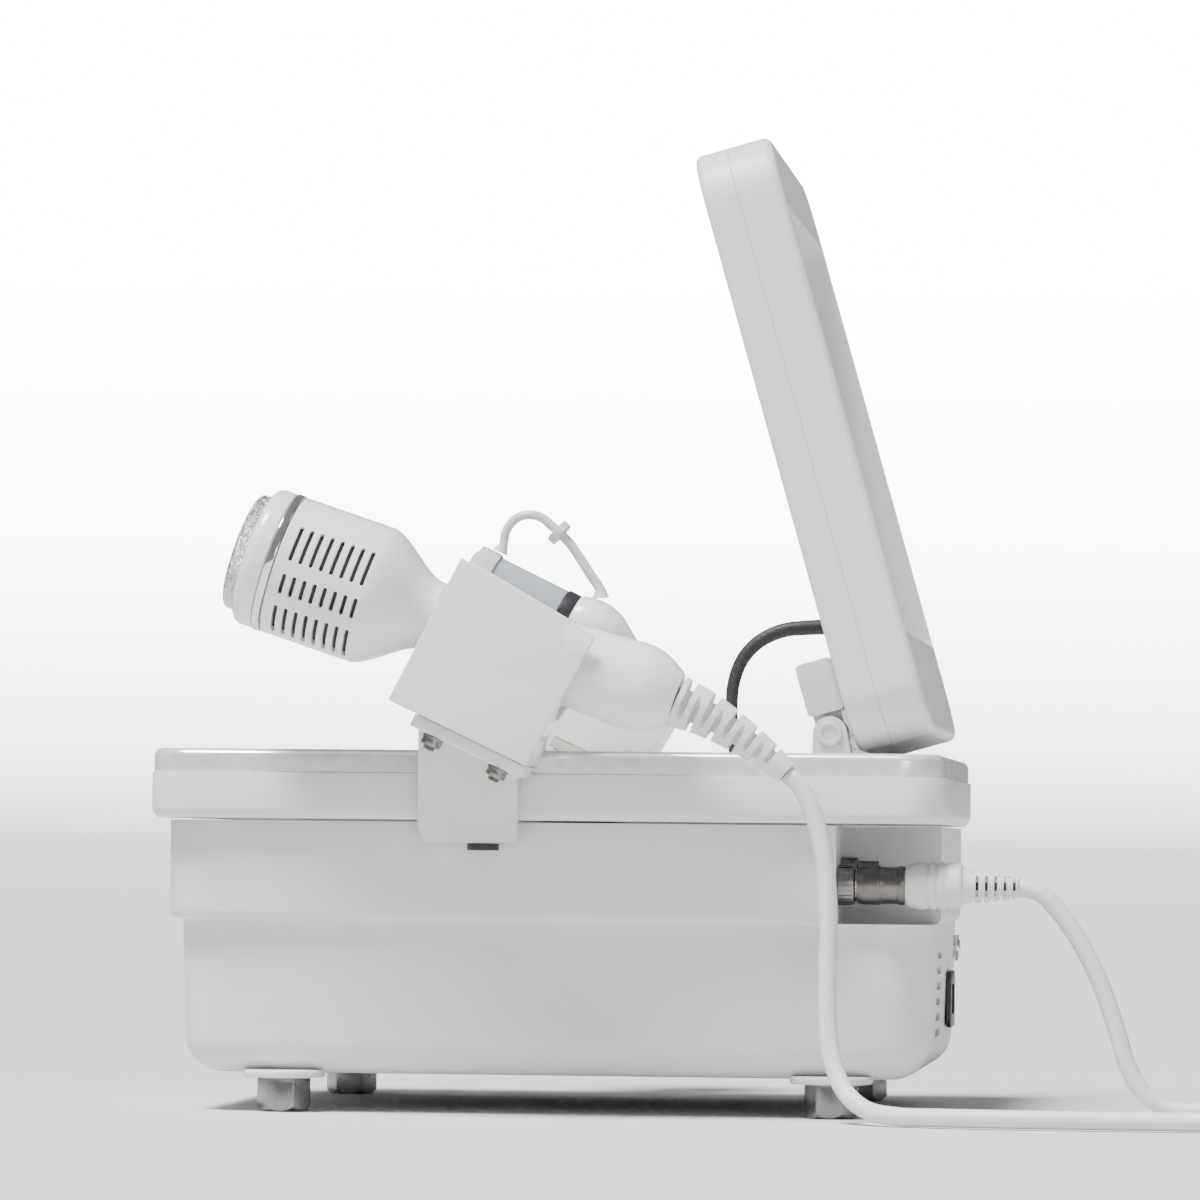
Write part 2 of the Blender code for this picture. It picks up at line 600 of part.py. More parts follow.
def make_handpiece_a():
    frame = frame_empty("handpiece_a_frame", (HEAD_FRONT[0], HOLD_A_Y, HEAD_FRONT[1]), HEAD_TILT - 90.0)
    turned("contact_plate_a", [(0, 1.6), (12, 1.2), (20, 0.4), (24.6, -0.6), (26.2, -2.2), (26.2, -8.0), (0, -8.0)],
           CHROME, frame, steps=32)
    turned("transducer_a", disc(23.0, -8.4, -16.0), METAL, frame, steps=28)
    turned("nose_ring_a", [(27.6, -6.2), (30.4, -8.0), (HEAD_R, -10.2), (HEAD_R, -16.2), (26.8, -16.2),
                           (26.8, -6.2)], CASE_PLASTIC, frame, steps=32, ring=True)
    turned("chrome_ring_a", ring(31.5, 27.8, -16.5, -20.0), CHROME, frame, steps=32, ring=True)
    outer = [(head_radius(s), -s) for s in (20.3, 62.0, 65.0, 69.0, 73.0, 77.0, 81.0, 85.0, 89.0, 92.0)]
    inner = [(radius - 2.5, height) for radius, height in reversed(outer)]
    head = turned("head_shell_a", outer + inner, CASE_PLASTIC, frame, steps=32, ring=True)
    for row, (start, end) in enumerate(VENT_ROWS):
        middle = math.radians((start + end) / 2)
        half_chord = HEAD_R * math.sin(math.radians((end - start) / 2))
        for number in range(VENT_COUNT):
            slot = block(f"slot_cut_{row}_{number}", (HEAD_R - 6, -half_chord, -VENT_WIDTH / 2),
                         (HEAD_R + 4, half_chord, VENT_WIDTH / 2), parent=frame)
            s = VENT_START + VENT_PITCH * number
            turn = Matrix.Rotation(-math.pi / 2 - middle, 4, "Z")
            slot.matrix_local = Matrix.Translation((0, 0, -s * MM)) @ turn
            boolean(head, slot)
    stations = (92.3, 104, 120, 140, 160, 176, 186, 192, 197, 201, 203.6)
    outer = [(handle_radius(s), -s) for s in stations]
    inner = [(6.0, -203.6), (6.0, -200.0)] + [(handle_radius(s) - 2.5, -s) for s in (197, 186, 160, 120, 92.3)]
    turned("handle_a", outer + inner, CASE_PLASTIC, frame, steps=24, ring=True)
    path = smooth_path(BOOT_A, 6.0)
    radii = [10.6 - 5.4 * i / (len(path) - 1) for i in range(len(path))]
    tube("boot_a", path, radii, CORD_GREY, resolution=3)


BOOT_A = [(61.6, HOLD_A_Y, 183.0), (74.0, HOLD_A_Y, 177.6), (87.0, HOLD_A_Y, 169.8),
          (98.5, HOLD_A_Y, 161.6), (109.6, HOLD_A_Y, 152.2)]

# --- Handpiece B ----------------------------------------------------------------------------


def make_handpiece_b():
    frame = frame_empty("handpiece_b_frame", (TIP_B[0], HOLD_B_Y, TIP_B[1]), TIP_B_TILT - 90.0)
    turned("silicone_cap_b", [(0, 1.8), (9.0, 1.8), (11.0, 0.2), (13.8, -0.6), (13.8, -11.0), (12.8, -11.0),
                              (12.8, -0.2), (0, -0.2)], SILICONE, frame, steps=28)
    turned("clear_tip_b", [(0, -0.5), (10.0, -0.5), (12.4, -2.5), (12.5, -48.0), (10.4, -48.0), (10.4, -4.0),
                           (0, -4.0)], CLEAR, frame, steps=28)
    turned("dark_ring_b", ring(13.2, 4.0, -48.3, -54.5), BLACK, frame, steps=28, ring=True)
    turned("body_b", [(13.4, -54.8), (14.8, -59.0), (15.5, -64.0), (15.6, -70.0), (13.6, -77.0), (9.4, -83.6),
                      (6.2, -88.4), (3.6, -88.4), (6.6, -82.4), (10.8, -75.6), (12.6, -70.0), (12.4, -64.0),
                      (10.8, -54.8)], CASE_PLASTIC, frame, steps=28, ring=True)
    turned("boot_b", [(0, -88.7), (6.0, -88.7), (3.9, -108.0), (0, -108.0)], CORD_GREY, frame, steps=20)
    path = smooth_path(TETHER, 5.0)
    tether = tube("tether_b", path, [2.2 + 0.5 * i / (len(path) - 1) for i in range(len(path))], SILICONE,
                  resolution=2)
    bead_at = Vector(path[BEAD_INDEX])
    run = (Vector(path[BEAD_INDEX + 1]) - Vector(path[BEAD_INDEX - 1])).normalized()
    turn = Vector((0, 0, 1)).rotation_difference(run).to_matrix().to_4x4()
    turned("tether_bead_b", ring(6.2, 3.1, 2.2, -2.2), SILICONE,
           matrix=Matrix.Translation(bead_at * MM) @ turn, steps=24, ring=True)


TETHER = [(-55.9, HOLD_B_Y, 262.7), (-54.5, HOLD_B_Y, 265.9), (-52.9, HOLD_B_Y, 273.6), (-48.1, HOLD_B_Y, 279.4),
          (-41.9, HOLD_B_Y, 281.2), (-35.8, HOLD_B_Y, 279.9), (-31.0, HOLD_B_Y, 276.2), (-26.8, HOLD_B_Y, 272.4),
          (-21.6, HOLD_B_Y, 267.2), (-16.4, HOLD_B_Y, 259.8), (-11.0, HOLD_B_Y, 251.6), (-6.6, HOLD_B_Y, 244.8),
          (-6.2, HOLD_B_Y, 240.8)]
BEAD_INDEX = 8

# --- Lead of handpiece A --------------------------------------------------------------------
LEAD_ROUTE = [(110.6, HOLD_A_Y, 151.4), (114.4, HOLD_A_Y, 147.8), (118.2, HOLD_A_Y, 142.0),
              (122.0, HOLD_A_Y, 133.0),
              (125.2, HOLD_A_Y, 121.6), (127.6, HOLD_A_Y, 107.0), (128.6, HOLD_A_Y, 88.0),
              (128.4, HOLD_A_Y, 66.0), (128.6, -165.0, 46.0), (130.8, -168.2, 28.5), (136.6, -175.2, 14.6),
              (147.0, -185.6, 6.6), (161.0, -196.4, 4.4), (178.0, -204.4, 4.4), (200.0, -209.6, 4.4),
              (228.0, -212.4, 4.4), (258.0, -213.4, 4.4), (290.0, -213.5, 4.4), (332.0, -213.5, 4.4)]
TAIL_ROUTE = [(332.0, -116.5, 12.7), (318.0, -116.5, 11.9), (302.0, -116.6, 7.6), (288.0, -116.8, 5.0),
              (275.0, -117.0, 6.4), (264.6, -117.0, 13.6), (258.0, -117.0, 25.0), (253.6, -117.0, 39.0),
              (248.6, -117.0, 54.0), (242.2, -117.0, 69.0), (234.6, -117.0, 82.6), (226.6, -117.0, 93.2),
              (219.0, -117.0, 100.6), (211.9, -117.0, 102.9)]


def make_lead():
    tube("lead_a_front", smooth_path(LEAD_ROUTE, 2.2 * CABLE_D), CABLE_D / 2, CORD_GREY, resolution=2)
    tube("lead_a_rear", smooth_path(TAIL_ROUTE, 2.0 * CABLE_D), CABLE_D / 2, CORD_GREY, resolution=2)
    outer, inner = COIL_OUTER_TURN + 4.2, COIL_INNER_TURN - 4.2
    turned("lead_a_coil", [(outer - 3, COIL_HEIGHT), (outer, COIL_HEIGHT - 3), (outer, 3.2), (outer - 3, 0.2),
                           (inner + 3, 0.2), (inner, 3.2), (inner, COIL_HEIGHT - 3), (inner + 3, COIL_HEIGHT)],
           CORD_GREY, matrix=Matrix.Translation((COIL_CENTRE[0] * MM, COIL_CENTRE[1] * MM, 0)), steps=30, ring=True)


# --- Assembly -------------------------------------------------------------------------------
case_housing = make_case()
make_rim()
make_feet()
make_rear(case_housing)
make_fan()
make_internals()
make_connectors()
lid_axis = frame_empty("lid_axis", (PIN[0], 0.0, PIN[1]), -LID_LEAN)
make_hinges(lid_axis)
make_lid(lid_axis)
make_display_cable()
holder_a = make_holder("a", CRADLE_A, HOLD_A_Y, 63.7, 69.7, 23.5)
make_plate_bolts(holder_a)
make_clamp("a", CRADLE_A, HOLD_A_Y, holder_a)
holder_b = make_holder("b", CRADLE_B, HOLD_B_Y, 44.0, 50.0, 36.9)
make_clamp("b", CRADLE_B, HOLD_B_Y, holder_b)
make_handpiece_a()
make_handpiece_b()
make_lead()
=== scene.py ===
"""Looks of the ultrasound therapy device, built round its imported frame."""
import json
import math

import bmesh
import bpy
from mathutils import Matrix, Vector


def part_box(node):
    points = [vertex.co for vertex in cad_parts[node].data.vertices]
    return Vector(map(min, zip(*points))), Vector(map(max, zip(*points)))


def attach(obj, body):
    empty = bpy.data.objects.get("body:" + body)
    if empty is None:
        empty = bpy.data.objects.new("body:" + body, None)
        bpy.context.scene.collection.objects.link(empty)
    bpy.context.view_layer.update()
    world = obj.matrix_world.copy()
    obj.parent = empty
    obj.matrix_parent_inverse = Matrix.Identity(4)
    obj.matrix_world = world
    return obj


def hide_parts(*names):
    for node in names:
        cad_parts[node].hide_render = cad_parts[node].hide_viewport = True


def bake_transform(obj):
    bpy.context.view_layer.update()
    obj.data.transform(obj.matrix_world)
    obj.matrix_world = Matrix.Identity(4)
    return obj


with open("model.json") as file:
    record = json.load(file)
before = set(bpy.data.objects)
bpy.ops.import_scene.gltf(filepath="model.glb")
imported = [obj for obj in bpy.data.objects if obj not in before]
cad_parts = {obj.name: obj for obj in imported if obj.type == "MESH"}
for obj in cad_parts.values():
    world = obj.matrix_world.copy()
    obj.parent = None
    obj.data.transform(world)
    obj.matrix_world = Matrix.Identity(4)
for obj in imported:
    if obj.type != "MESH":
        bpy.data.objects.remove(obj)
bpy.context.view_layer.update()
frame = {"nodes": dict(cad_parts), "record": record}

MM = 0.001
PI = math.pi

# --- The frame's own measures ---------------------------------------------------------------
JOINTS = {joint["name"]: joint for joint in frame["record"]["behaviour"]["joints"]}
PIN = [value / MM for value in JOINTS["lid_hinge"]["pos_m"]]


def size_mm(node):
    low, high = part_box(node)
    return [value / MM for value in low], [value / MM for value in high]


RIM_LOW, RIM_HIGH = size_mm("top_cover")
RIM_X, RIM_Y = RIM_HIGH[0], RIM_HIGH[1]
RIM_Z = (RIM_LOW[2], RIM_HIGH[2])
TRIM_TOP = size_mm("trim_band")[1][2]
DECK_TOP = size_mm("deck_panel")[1][2]
TIER2_Y = size_mm("lower_housing")[1][1]

# --- Dimensions shared with the CAD model, in millimetres -----------------------------------
GAP = 0.3
TIER2_X, TIER3_X, TIER3_Y = (-170.6, 173.5), (-165.8, 171.5), 125.0
TIER_STEP_Z, CASE_BOTTOM, WALL, DRAFT = 85.0, 17.0, 3.0, 1.8
NOTCH_X, NOTCH_Y = 129.3, -80.0
SOCKET_A, SOCKET_B = (-117.0, 103.3), (-93.0, 107.0)
FOOT_X, FOOT_Y, FOOT_R = (-118.0, 127.0), 112.0, 12.0
LID_LEAN, LID_U, LID_W, LID_SEAM = 16.0, (-11.5, 265.5), (9.6, 45.1), 24.9
LID_Y, LID_R, LID_RECESS = 125.0, 27.0, ((34.0, 232.0), 119.0, 10.5)
HINGE_Y = 110.0
HOLD_A_Y, HOLD_B_Y = -164.5, 172.1
CRADLE_TILT, CRADLE_A, CRADLE_B = 25.2, (-63.1, 182.3), (-45.5, 182.3)
CRADLE_WIDTH, CRADLE_WALL, CRADLE_LENGTH = 47.0, 3.0, 66.9
BOLTS_ALONG, BOLT_Y, CLAMP_FOOT = (24.5, 56.0), 16.0, 120.5
HEAD_FRONT, HEAD_TILT = (-131.9, 248.5), 18.67
HEAD_R, NECK_R, TAIL_R = 31.1, 15.6, 12.3
HANDLE_SWELL, SWELL_END, HANDLE_END = 19.7, 186.0, 203.6
TIP_B, TIP_B_TILT = (-70.3, 253.8), 26.2
CABLE_D = 8.0
COIL_CENTRE, COIL_INNER_TURN, COIL_OUTER_TURN = (362.0, -165.0), 40.0, 48.5
VENT_ROWS = ((-36.0, -4.6), (6.6, 24.0), (35.0, 70.0))
VENT_START, VENT_PITCH, VENT_COUNT, VENT_WIDTH = 26.5, 4.75, 8, 1.9

# --- Camera, lights and floor (metres) ------------------------------------------------------
CAMERA_PLACE, CAMERA_LENS = (0.31997, -3.09417, 0.11831), 201.717
CAMERA_TURN, CAMERA_PITCH, CAMERA_ROLL = 5.709, 2.118, 0.563
AMBIENT = 0.30
SUN_FROM, SUN_STRENGTH, SUN_ANGLE = (-0.55, -0.62, 2.0), 8.5, 0.35
FLOOR_ALBEDO, FLOOR_REACH, FLOOR_DROP = 0.62, 14.0, 0.0002
SWEEP_TOP, SWEEP_CLIMB = 30.0, 0.16


def make_camera():
    azimuth, pitch, roll = (math.radians(angle) for angle in (CAMERA_TURN, CAMERA_PITCH, CAMERA_ROLL))
    forward = Vector((-math.sin(azimuth) * math.cos(pitch), math.cos(azimuth) * math.cos(pitch),
                      math.sin(pitch)))
    right = Vector((math.cos(azimuth), math.sin(azimuth), 0.0))
    up = right.cross(forward)
    rolled_right = right * math.cos(roll) + up * math.sin(roll)
    rolled_up = up * math.cos(roll) - right * math.sin(roll)
    data = bpy.data.cameras.new("camera")
    data.lens, data.sensor_width, data.clip_end = CAMERA_LENS, 36.0, 60.0
    camera = bpy.data.objects.new("camera", data)
    turn = Matrix((rolled_right, rolled_up, -forward)).transposed().to_4x4()
    camera.matrix_world = Matrix.Translation(CAMERA_PLACE) @ turn
    bpy.context.scene.collection.objects.link(camera)
    bpy.context.scene.camera = camera


def make_light(name, place, target, size, power):
    data = bpy.data.lights.new(name, "AREA")
    data.shape, data.size, data.size_y, data.energy = "RECTANGLE", size[0], size[1], power
    light = bpy.data.objects.new(name, data)
    light.location = place
    light.rotation_euler = (Vector(target) - Vector(place)).to_track_quat("-Z", "Y").to_euler()
    bpy.context.scene.collection.objects.link(light)


def make_sun(name, place, angle, strength):
    data = bpy.data.lights.new(name, "SUN")
    data.angle, data.energy = angle, strength
    light = bpy.data.objects.new(name, data)
    light.rotation_euler = (-Vector(place)).to_track_quat("-Z", "Y").to_euler()
    bpy.context.scene.collection.objects.link(light)


def make_studio():
    """A pale floor under a high soft sun, and a sweep that starts at the floor's own brightness."""
    world = bpy.data.worlds.new("studio")
    bpy.context.scene.world = world
    world.use_nodes = True
    tree = world.node_tree
    lighting = tree.nodes["Background"]
    lighting.inputs["Color"].default_value = (1.0, 1.0, 1.0, 1.0)
    lighting.inputs["Strength"].default_value = AMBIENT
    at_horizon = FLOOR_ALBEDO * (SUN_STRENGTH * Vector(SUN_FROM).normalized().z / PI + AMBIENT)
    ray, parts = tree.nodes.new("ShaderNodeTexCoord"), tree.nodes.new("ShaderNodeSeparateXYZ")
    climb = tree.nodes.new("ShaderNodeMapRange")
    climb.inputs["From Max"].default_value = SWEEP_CLIMB
    climb.inputs["To Min"].default_value, climb.inputs["To Max"].default_value = at_horizon, SWEEP_TOP
    sweep = tree.nodes.new("ShaderNodeBackground")
    seen, mix = tree.nodes.new("ShaderNodeLightPath"), tree.nodes.new("ShaderNodeMixShader")
    tree.links.new(ray.outputs["Generated"], parts.inputs["Vector"])
    tree.links.new(parts.outputs["Z"], climb.inputs["Value"])
    tree.links.new(climb.outputs["Result"], sweep.inputs["Strength"])
    sweep.inputs["Color"].default_value = (1.0, 1.0, 1.0, 1.0)
    tree.links.new(seen.outputs["Is Camera Ray"], mix.inputs["Fac"])
    tree.links.new(lighting.outputs["Background"], mix.inputs[1])
    tree.links.new(sweep.outputs["Background"], mix.inputs[2])
    tree.links.new(mix.outputs["Shader"], tree.nodes["World Output"].inputs["Surface"])
    make_sun("key", SUN_FROM, SUN_ANGLE, SUN_STRENGTH)
    make_light("front_fill", (0.9, -2.6, 0.75), (0.05, 0.0, 0.3), (1.0, 0.6), 9.0)
    bm = bmesh.new()
    bmesh.ops.create_grid(bm, x_segments=8, y_segments=8, size=FLOOR_REACH)
    floor = bpy.data.objects.new("floor", finish_mesh("floor", bm))
    floor.location.z = -FLOOR_DROP
    bpy.context.scene.collection.objects.link(floor)
    floor.data.materials.append(new_material("floor_white", (FLOOR_ALBEDO,) * 3, 0.8)[0])


# --- Materials ------------------------------------------------------------------------------


def new_material(name, colour, roughness, metallic=0.0, **sockets):
    made = bpy.data.materials.new(name)
    made.use_nodes = True
    tree = made.node_tree
    shader = tree.nodes["Principled BSDF"]
    shader.inputs["Base Color"].default_value = (*colour, 1.0)
    shader.inputs["Roughness"].default_value = roughness
    shader.inputs["Metallic"].default_value = metallic
    for socket, value in sockets.items():
        shader.inputs[socket.replace("_", " ")].default_value = value
    return made, tree, shader


def noise(tree, scale, detail=3.0, stretch=(1.0, 1.0, 1.0), kind="ShaderNodeTexNoise"):
    place = tree.nodes.new("ShaderNodeTexCoord")
    mapping = tree.nodes.new("ShaderNodeMapping")
    mapping.inputs["Scale"].default_value = stretch
    tree.links.new(place.outputs["Object"], mapping.inputs["Vector"])
    made = tree.nodes.new(kind)
    made.inputs["Scale"].default_value = scale
    if "Detail" in made.inputs:
        made.inputs["Detail"].default_value = detail
    tree.links.new(mapping.outputs["Vector"], made.inputs["Vector"])
    return made.outputs["Fac"] if "Fac" in made.outputs else made.outputs["Distance"]


def ramp(tree, fac, low, high, start=0.35, end=0.65):
    made = tree.nodes.new("ShaderNodeValToRGB")
    made.color_ramp.elements[0].position, made.color_ramp.elements[1].position = start, end
    made.color_ramp.elements[0].color = (*low, 1.0)
    made.color_ramp.elements[1].color = (*high, 1.0)
    tree.links.new(fac, made.inputs["Fac"])
    return made.outputs["Color"]


def spread(tree, fac, low, high):
    made = tree.nodes.new("ShaderNodeMapRange")
    made.inputs["To Min"].default_value, made.inputs["To Max"].default_value = low, high
    tree.links.new(fac, made.inputs["Value"])
    return made.outputs["Result"]


def bump(tree, shader, height, strength, distance):
    made = tree.nodes.new("ShaderNodeBump")
    made.inputs["Strength"].default_value = strength
    made.inputs["Distance"].default_value = distance
    tree.links.new(height, made.inputs["Height"])
    tree.links.new(made.outputs["Normal"], shader.inputs["Normal"])


def moulded(name, colour, roughness, grain=1500.0, strength=0.12, depth=0.00012, dust=0.03, **sockets):
    """Moulded plastic: fine grain, a slow drift of tone and a little wear in the gloss."""
    made, tree, shader = new_material(name, colour, roughness, **sockets)
    tone = noise(tree, 9.0, 4.0)
    dark = tuple(value * (1.0 - dust) for value in colour)
    tree.links.new(ramp(tree, tone, dark, colour), shader.inputs["Base Color"])
    patch = noise(tree, 55.0, 5.0)
    tree.links.new(spread(tree, patch, roughness * 0.82, roughness * 1.22), shader.inputs["Roughness"])
    bump(tree, shader, noise(tree, grain, 2.0), strength, depth)
    return made


def metal(name, colour, roughness, scale=400.0, stretch=(1.0, 1.0, 1.0), strength=0.15, depth=0.00008,
          kind="ShaderNodeTexNoise", metallic=1.0):
    """Bare or plated metal: brushed or cast grain, smudges in its gloss."""
    made, tree, shader = new_material(name, colour, roughness, metallic)
    smudge = noise(tree, 60.0, 4.0)
    tree.links.new(spread(tree, smudge, roughness * 0.7, roughness * 1.4), shader.inputs["Roughness"])
    tone = noise(tree, 140.0, 3.0, stretch)
    tree.links.new(ramp(tree, tone, tuple(v * 0.86 for v in colour), colour), shader.inputs["Base Color"])
    bump(tree, shader, noise(tree, scale, 3.0, stretch, kind), strength, depth)
    return made


def clear(name, colour, roughness, transmission, ior, scale=220.0):
    made, tree, shader = new_material(name, colour, roughness)
    shader.inputs["Transmission Weight"].default_value = transmission
    shader.inputs["IOR"].default_value = ior
    haze = noise(tree, scale, 3.0)
    tree.links.new(spread(tree, haze, roughness * 0.7, roughness * 1.5), shader.inputs["Roughness"])
    bump(tree, shader, noise(tree, scale * 2, 2.0), 0.08, 0.0001)
    return made


LOOKS = {
    "case": moulded("case_plastic", (0.72, 0.72, 0.735), 0.42),
    "deck": moulded("deck_plastic", (0.70, 0.70, 0.715), 0.5, grain=900.0, strength=0.2),
    "trim": metal("silver_trim", (0.88, 0.88, 0.89), 0.20, 1200.0, metallic=0.45),
    "chrome": metal("polished_chrome", (0.83, 0.83, 0.84), 0.09, 300.0, strength=0.03),
    "steel": metal("zinc_steel", (0.30, 0.295, 0.285), 0.26, 500.0, (1.0, 1.0, 0.08), 0.3),
    "nickel": metal("dull_nickel", (0.20, 0.19, 0.175), 0.30, 500.0, (0.1, 1.0, 1.0), 0.2),
    "cast": moulded("painted_casting", (0.66, 0.66, 0.67), 0.38, grain=700.0, strength=0.2, Metallic=0.25),
    "glitter": metal("sparkling_plate", (0.72, 0.72, 0.74), 0.16, 430.0, strength=1.0, depth=0.0012,
                     kind="ShaderNodeTexVoronoi"),
    "gloss": moulded("gloss_white", (0.80, 0.785, 0.745), 0.10, grain=120.0, strength=0.03, Coat_Weight=0.6,
                     Coat_Roughness=0.04),
    "shell": moulded("handpiece_white", (0.80, 0.80, 0.81), 0.26, grain=2200.0, strength=0.05,
                     Coat_Weight=0.3, Coat_Roughness=0.12),
    "cord": moulded("cord_jacket", (0.70, 0.70, 0.715), 0.46, grain=1800.0, strength=0.2, dust=0.06),
    "boot": moulded("boot_rubber", (0.71, 0.71, 0.725), 0.42, grain=1500.0, strength=0.15, dust=0.05),
    "black": moulded("black_plastic", (0.018, 0.018, 0.02), 0.42, grain=1000.0, strength=0.25),
    "sleeve": moulded("black_sleeve", (0.022, 0.022, 0.024), 0.55, grain=900.0, strength=0.7, depth=0.0004),
    "glass": moulded("screen_glass_look", (0.012, 0.014, 0.018), 0.05, grain=60.0, strength=0.01,
                     Coat_Weight=1.0),
    # Near-black colour that paints the shade inside slots and gaps; it is not the colour of a real part.
    "painted_gap_shade": moulded("painted_gap_shade", (0.05, 0.05, 0.055), 0.8),
    "panel": moulded("panel_module", (0.10, 0.10, 0.11), 0.5),
    "sheet": metal("sheet_metal", (0.55, 0.55, 0.56), 0.35, 300.0, (1.0, 0.05, 1.0)),
    "board": moulded("circuit_board", (0.015, 0.13, 0.05), 0.4, grain=400.0, strength=0.4, dust=0.4),
    "clear": clear("clear_tip_look", (0.66, 0.73, 0.77), 0.16, 0.55, 1.45),
    "silicone": clear("silicone_look", (0.80, 0.82, 0.83), 0.32, 0.35, 1.41),
}

# --- Mesh helpers (all take millimetres) ----------------------------------------------------


def finish_mesh(name, bm):
    mesh = bpy.data.meshes.new(name)
    bm.to_mesh(mesh)
    bm.free()
    return mesh


def add(name, mesh, matrix=None):
    made = bpy.data.objects.new(name, mesh)
    bpy.context.scene.collection.objects.link(made)
    if matrix is not None:
        made.matrix_world = matrix
    return made


def bevel(bm, edges, radius, segments):
    if edges and radius:
        bmesh.ops.bevel(bm, geom=edges, offset=radius * MM, segments=segments, profile=0.5,
                        affect="EDGES", clamp_overlap=True)


def block(name, low, high, matrix=None, upright=(0.0, 1), axis=2, rims=(), draft=0.0):
    """A box. upright=(radius, segments) rounds its edges along axis;
    rims=[(radius, segments, side)] rounds the edges of its ends."""
    bm = bmesh.new()
    bmesh.ops.create_cube(bm, size=1.0)
    size = [(high[i] - low[i]) * MM for i in range(3)]
    middle = Vector([(high[i] + low[i]) / 2 * MM for i in range(3)])
    for vert in bm.verts:
        narrow = 2 * draft * MM if vert.co.z < 0 else 0.0
        vert.co = Vector((vert.co.x * (size[0] - narrow), vert.co.y * (size[1] - narrow),
                          vert.co.z * size[2])) + middle
    along = []
    for edge in bm.edges:
        run = edge.verts[1].co - edge.verts[0].co
        if max(abs(run[i]) for i in range(3) if i != axis) < 0.15 * abs(run[axis]):
            along.append(edge)
    bevel(bm, along, *upright)
    for radius, segments, side in rims:
        level = (high if side > 0 else low)[axis] * MM
        bevel(bm, [edge for edge in bm.edges if all(abs(v.co[axis] - level) < 1e-6 for v in edge.verts)],
              radius, segments)
    return add(name, finish_mesh(name, bm), matrix)


def rounded(name, low, high, radius, matrix=None, segments=3):
    """A box with every edge rounded alike."""
    bm = bmesh.new()
    bmesh.ops.create_cube(bm, size=1.0)
    for vert in bm.verts:
        vert.co = Vector([(low[i] + high[i]) / 2 * MM + vert.co[i] * (high[i] - low[i]) * MM
                          for i in range(3)])
    bevel(bm, bm.edges[:], radius, segments)
    return add(name, finish_mesh(name, bm), matrix)


def turned(name, profile, matrix=None, steps=96, ring=False):
    """A profile of (radius, z) points, top to bottom on its outer side, turned about local Z."""
    points = [(radius * MM, 0.0, height * MM) for radius, height in profile]
    edges = [(i, i + 1) for i in range(len(points) - 1)] + ([(len(points) - 1, 0)] if ring else [])
    mesh = bpy.data.meshes.new(name)
    mesh.from_pydata(points, edges, [])
    made = add(name, mesh, matrix)
    screw = made.modifiers.new("turn", "SCREW")
    screw.axis, screw.steps, screw.render_steps = "Z", steps, steps
    screw.use_merge_vertices, screw.merge_threshold = True, 0.00001
    return made


def soften(profile, radius=0.5, steps=3, closed=True):
    """The same profile with its corners rounded."""
    count, out = len(profile), []
    for i, (r, z) in enumerate(profile):
        here = Vector((r, z))
        if not closed and i in (0, count - 1):
            out.append((r, z))
            continue
        before, after = Vector(profile[i - 1]) - here, Vector(profile[(i + 1) % count]) - here
        if min(r, before.length, after.length) < 1e-6 or before.angle(after) > math.radians(165):
            out.append((r, z))
            continue
        cut = min(radius, before.length * 0.45, after.length * 0.45)
        a, b = here + before.normalized() * cut, here + after.normalized() * cut
        for step in range(steps + 1):
            t = step / steps
            p = a * (1 - t) ** 2 + here * 2 * t * (1 - t) + b * t * t
            out.append((p.x, p.y))
    return out


def disc(radius, top, bottom):
    return [(0, top), (radius, top), (radius, bottom), (0, bottom)]


def ring(outer, inner, top, bottom):
    return [(outer, top), (outer, bottom), (inner, bottom), (inner, top)]


def boolean(target, tools, operation="DIFFERENCE"):
    for tool in tools if isinstance(tools, (list, tuple)) else [tools]:
        modifier = target.modifiers.new(tool.name, "BOOLEAN")
        modifier.operation, modifier.object, modifier.solver = operation, tool, "EXACT"


def baked(target, tools=(), edge=0.0, angle=35.0, segments=2, smooth=32.0):
    """Applies every modifier, after rounding edges sharper than angle, and removes the tools."""
    if edge:
        modifier = target.modifiers.new("edge", "BEVEL")
        modifier.width, modifier.segments = edge * MM, segments
        modifier.limit_method, modifier.angle_limit = "ANGLE", math.radians(angle)
        modifier.use_clamp_overlap = True
    bpy.context.view_layer.update()
    evaluated = target.evaluated_get(bpy.context.evaluated_depsgraph_get())
    mesh = bpy.data.meshes.new_from_object(evaluated)
    target.modifiers.clear()
    target.data = mesh
    for tool in tools:
        bpy.data.objects.remove(tool, do_unlink=True)
    mesh.shade_smooth()
    mesh.set_sharp_from_angle(angle=math.radians(smooth))
    return target


def piece(obj, body, look, slot_name, *nodes):
    obj.data.materials.clear()
    obj.data.materials.append(LOOKS[look])
    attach(obj, body)
    if nodes:
        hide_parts(*nodes)
    return obj


def place(x, y, z, tilt=0.0):
    return Matrix.Translation((x * MM, y * MM, z * MM)) @ Matrix.Rotation(math.radians(tilt), 4, "Y")


def along_x(x, y, z):
    return place(x, y, z, 90.0)


def along_y(x, y, z):
    return place(x, y, z) @ Matrix.Rotation(PI / 2, 4, "X")


def outline_solid(name, outline, y_low, y_high, matrix=None):
    """A flat outline of (x, z) points, from y_low to y_high."""
    bm = bmesh.new()
    face = bm.faces.new([bm.verts.new((x * MM, y_low * MM, z * MM)) for x, z in outline])
    grown = bmesh.ops.extrude_face_region(bm, geom=[face])
    for item in grown["geom"]:
        if isinstance(item, bmesh.types.BMVert):
            item.co.y = y_high * MM
    bmesh.ops.recalc_face_normals(bm, faces=bm.faces)
    return add(name, finish_mesh(name, bm), matrix)


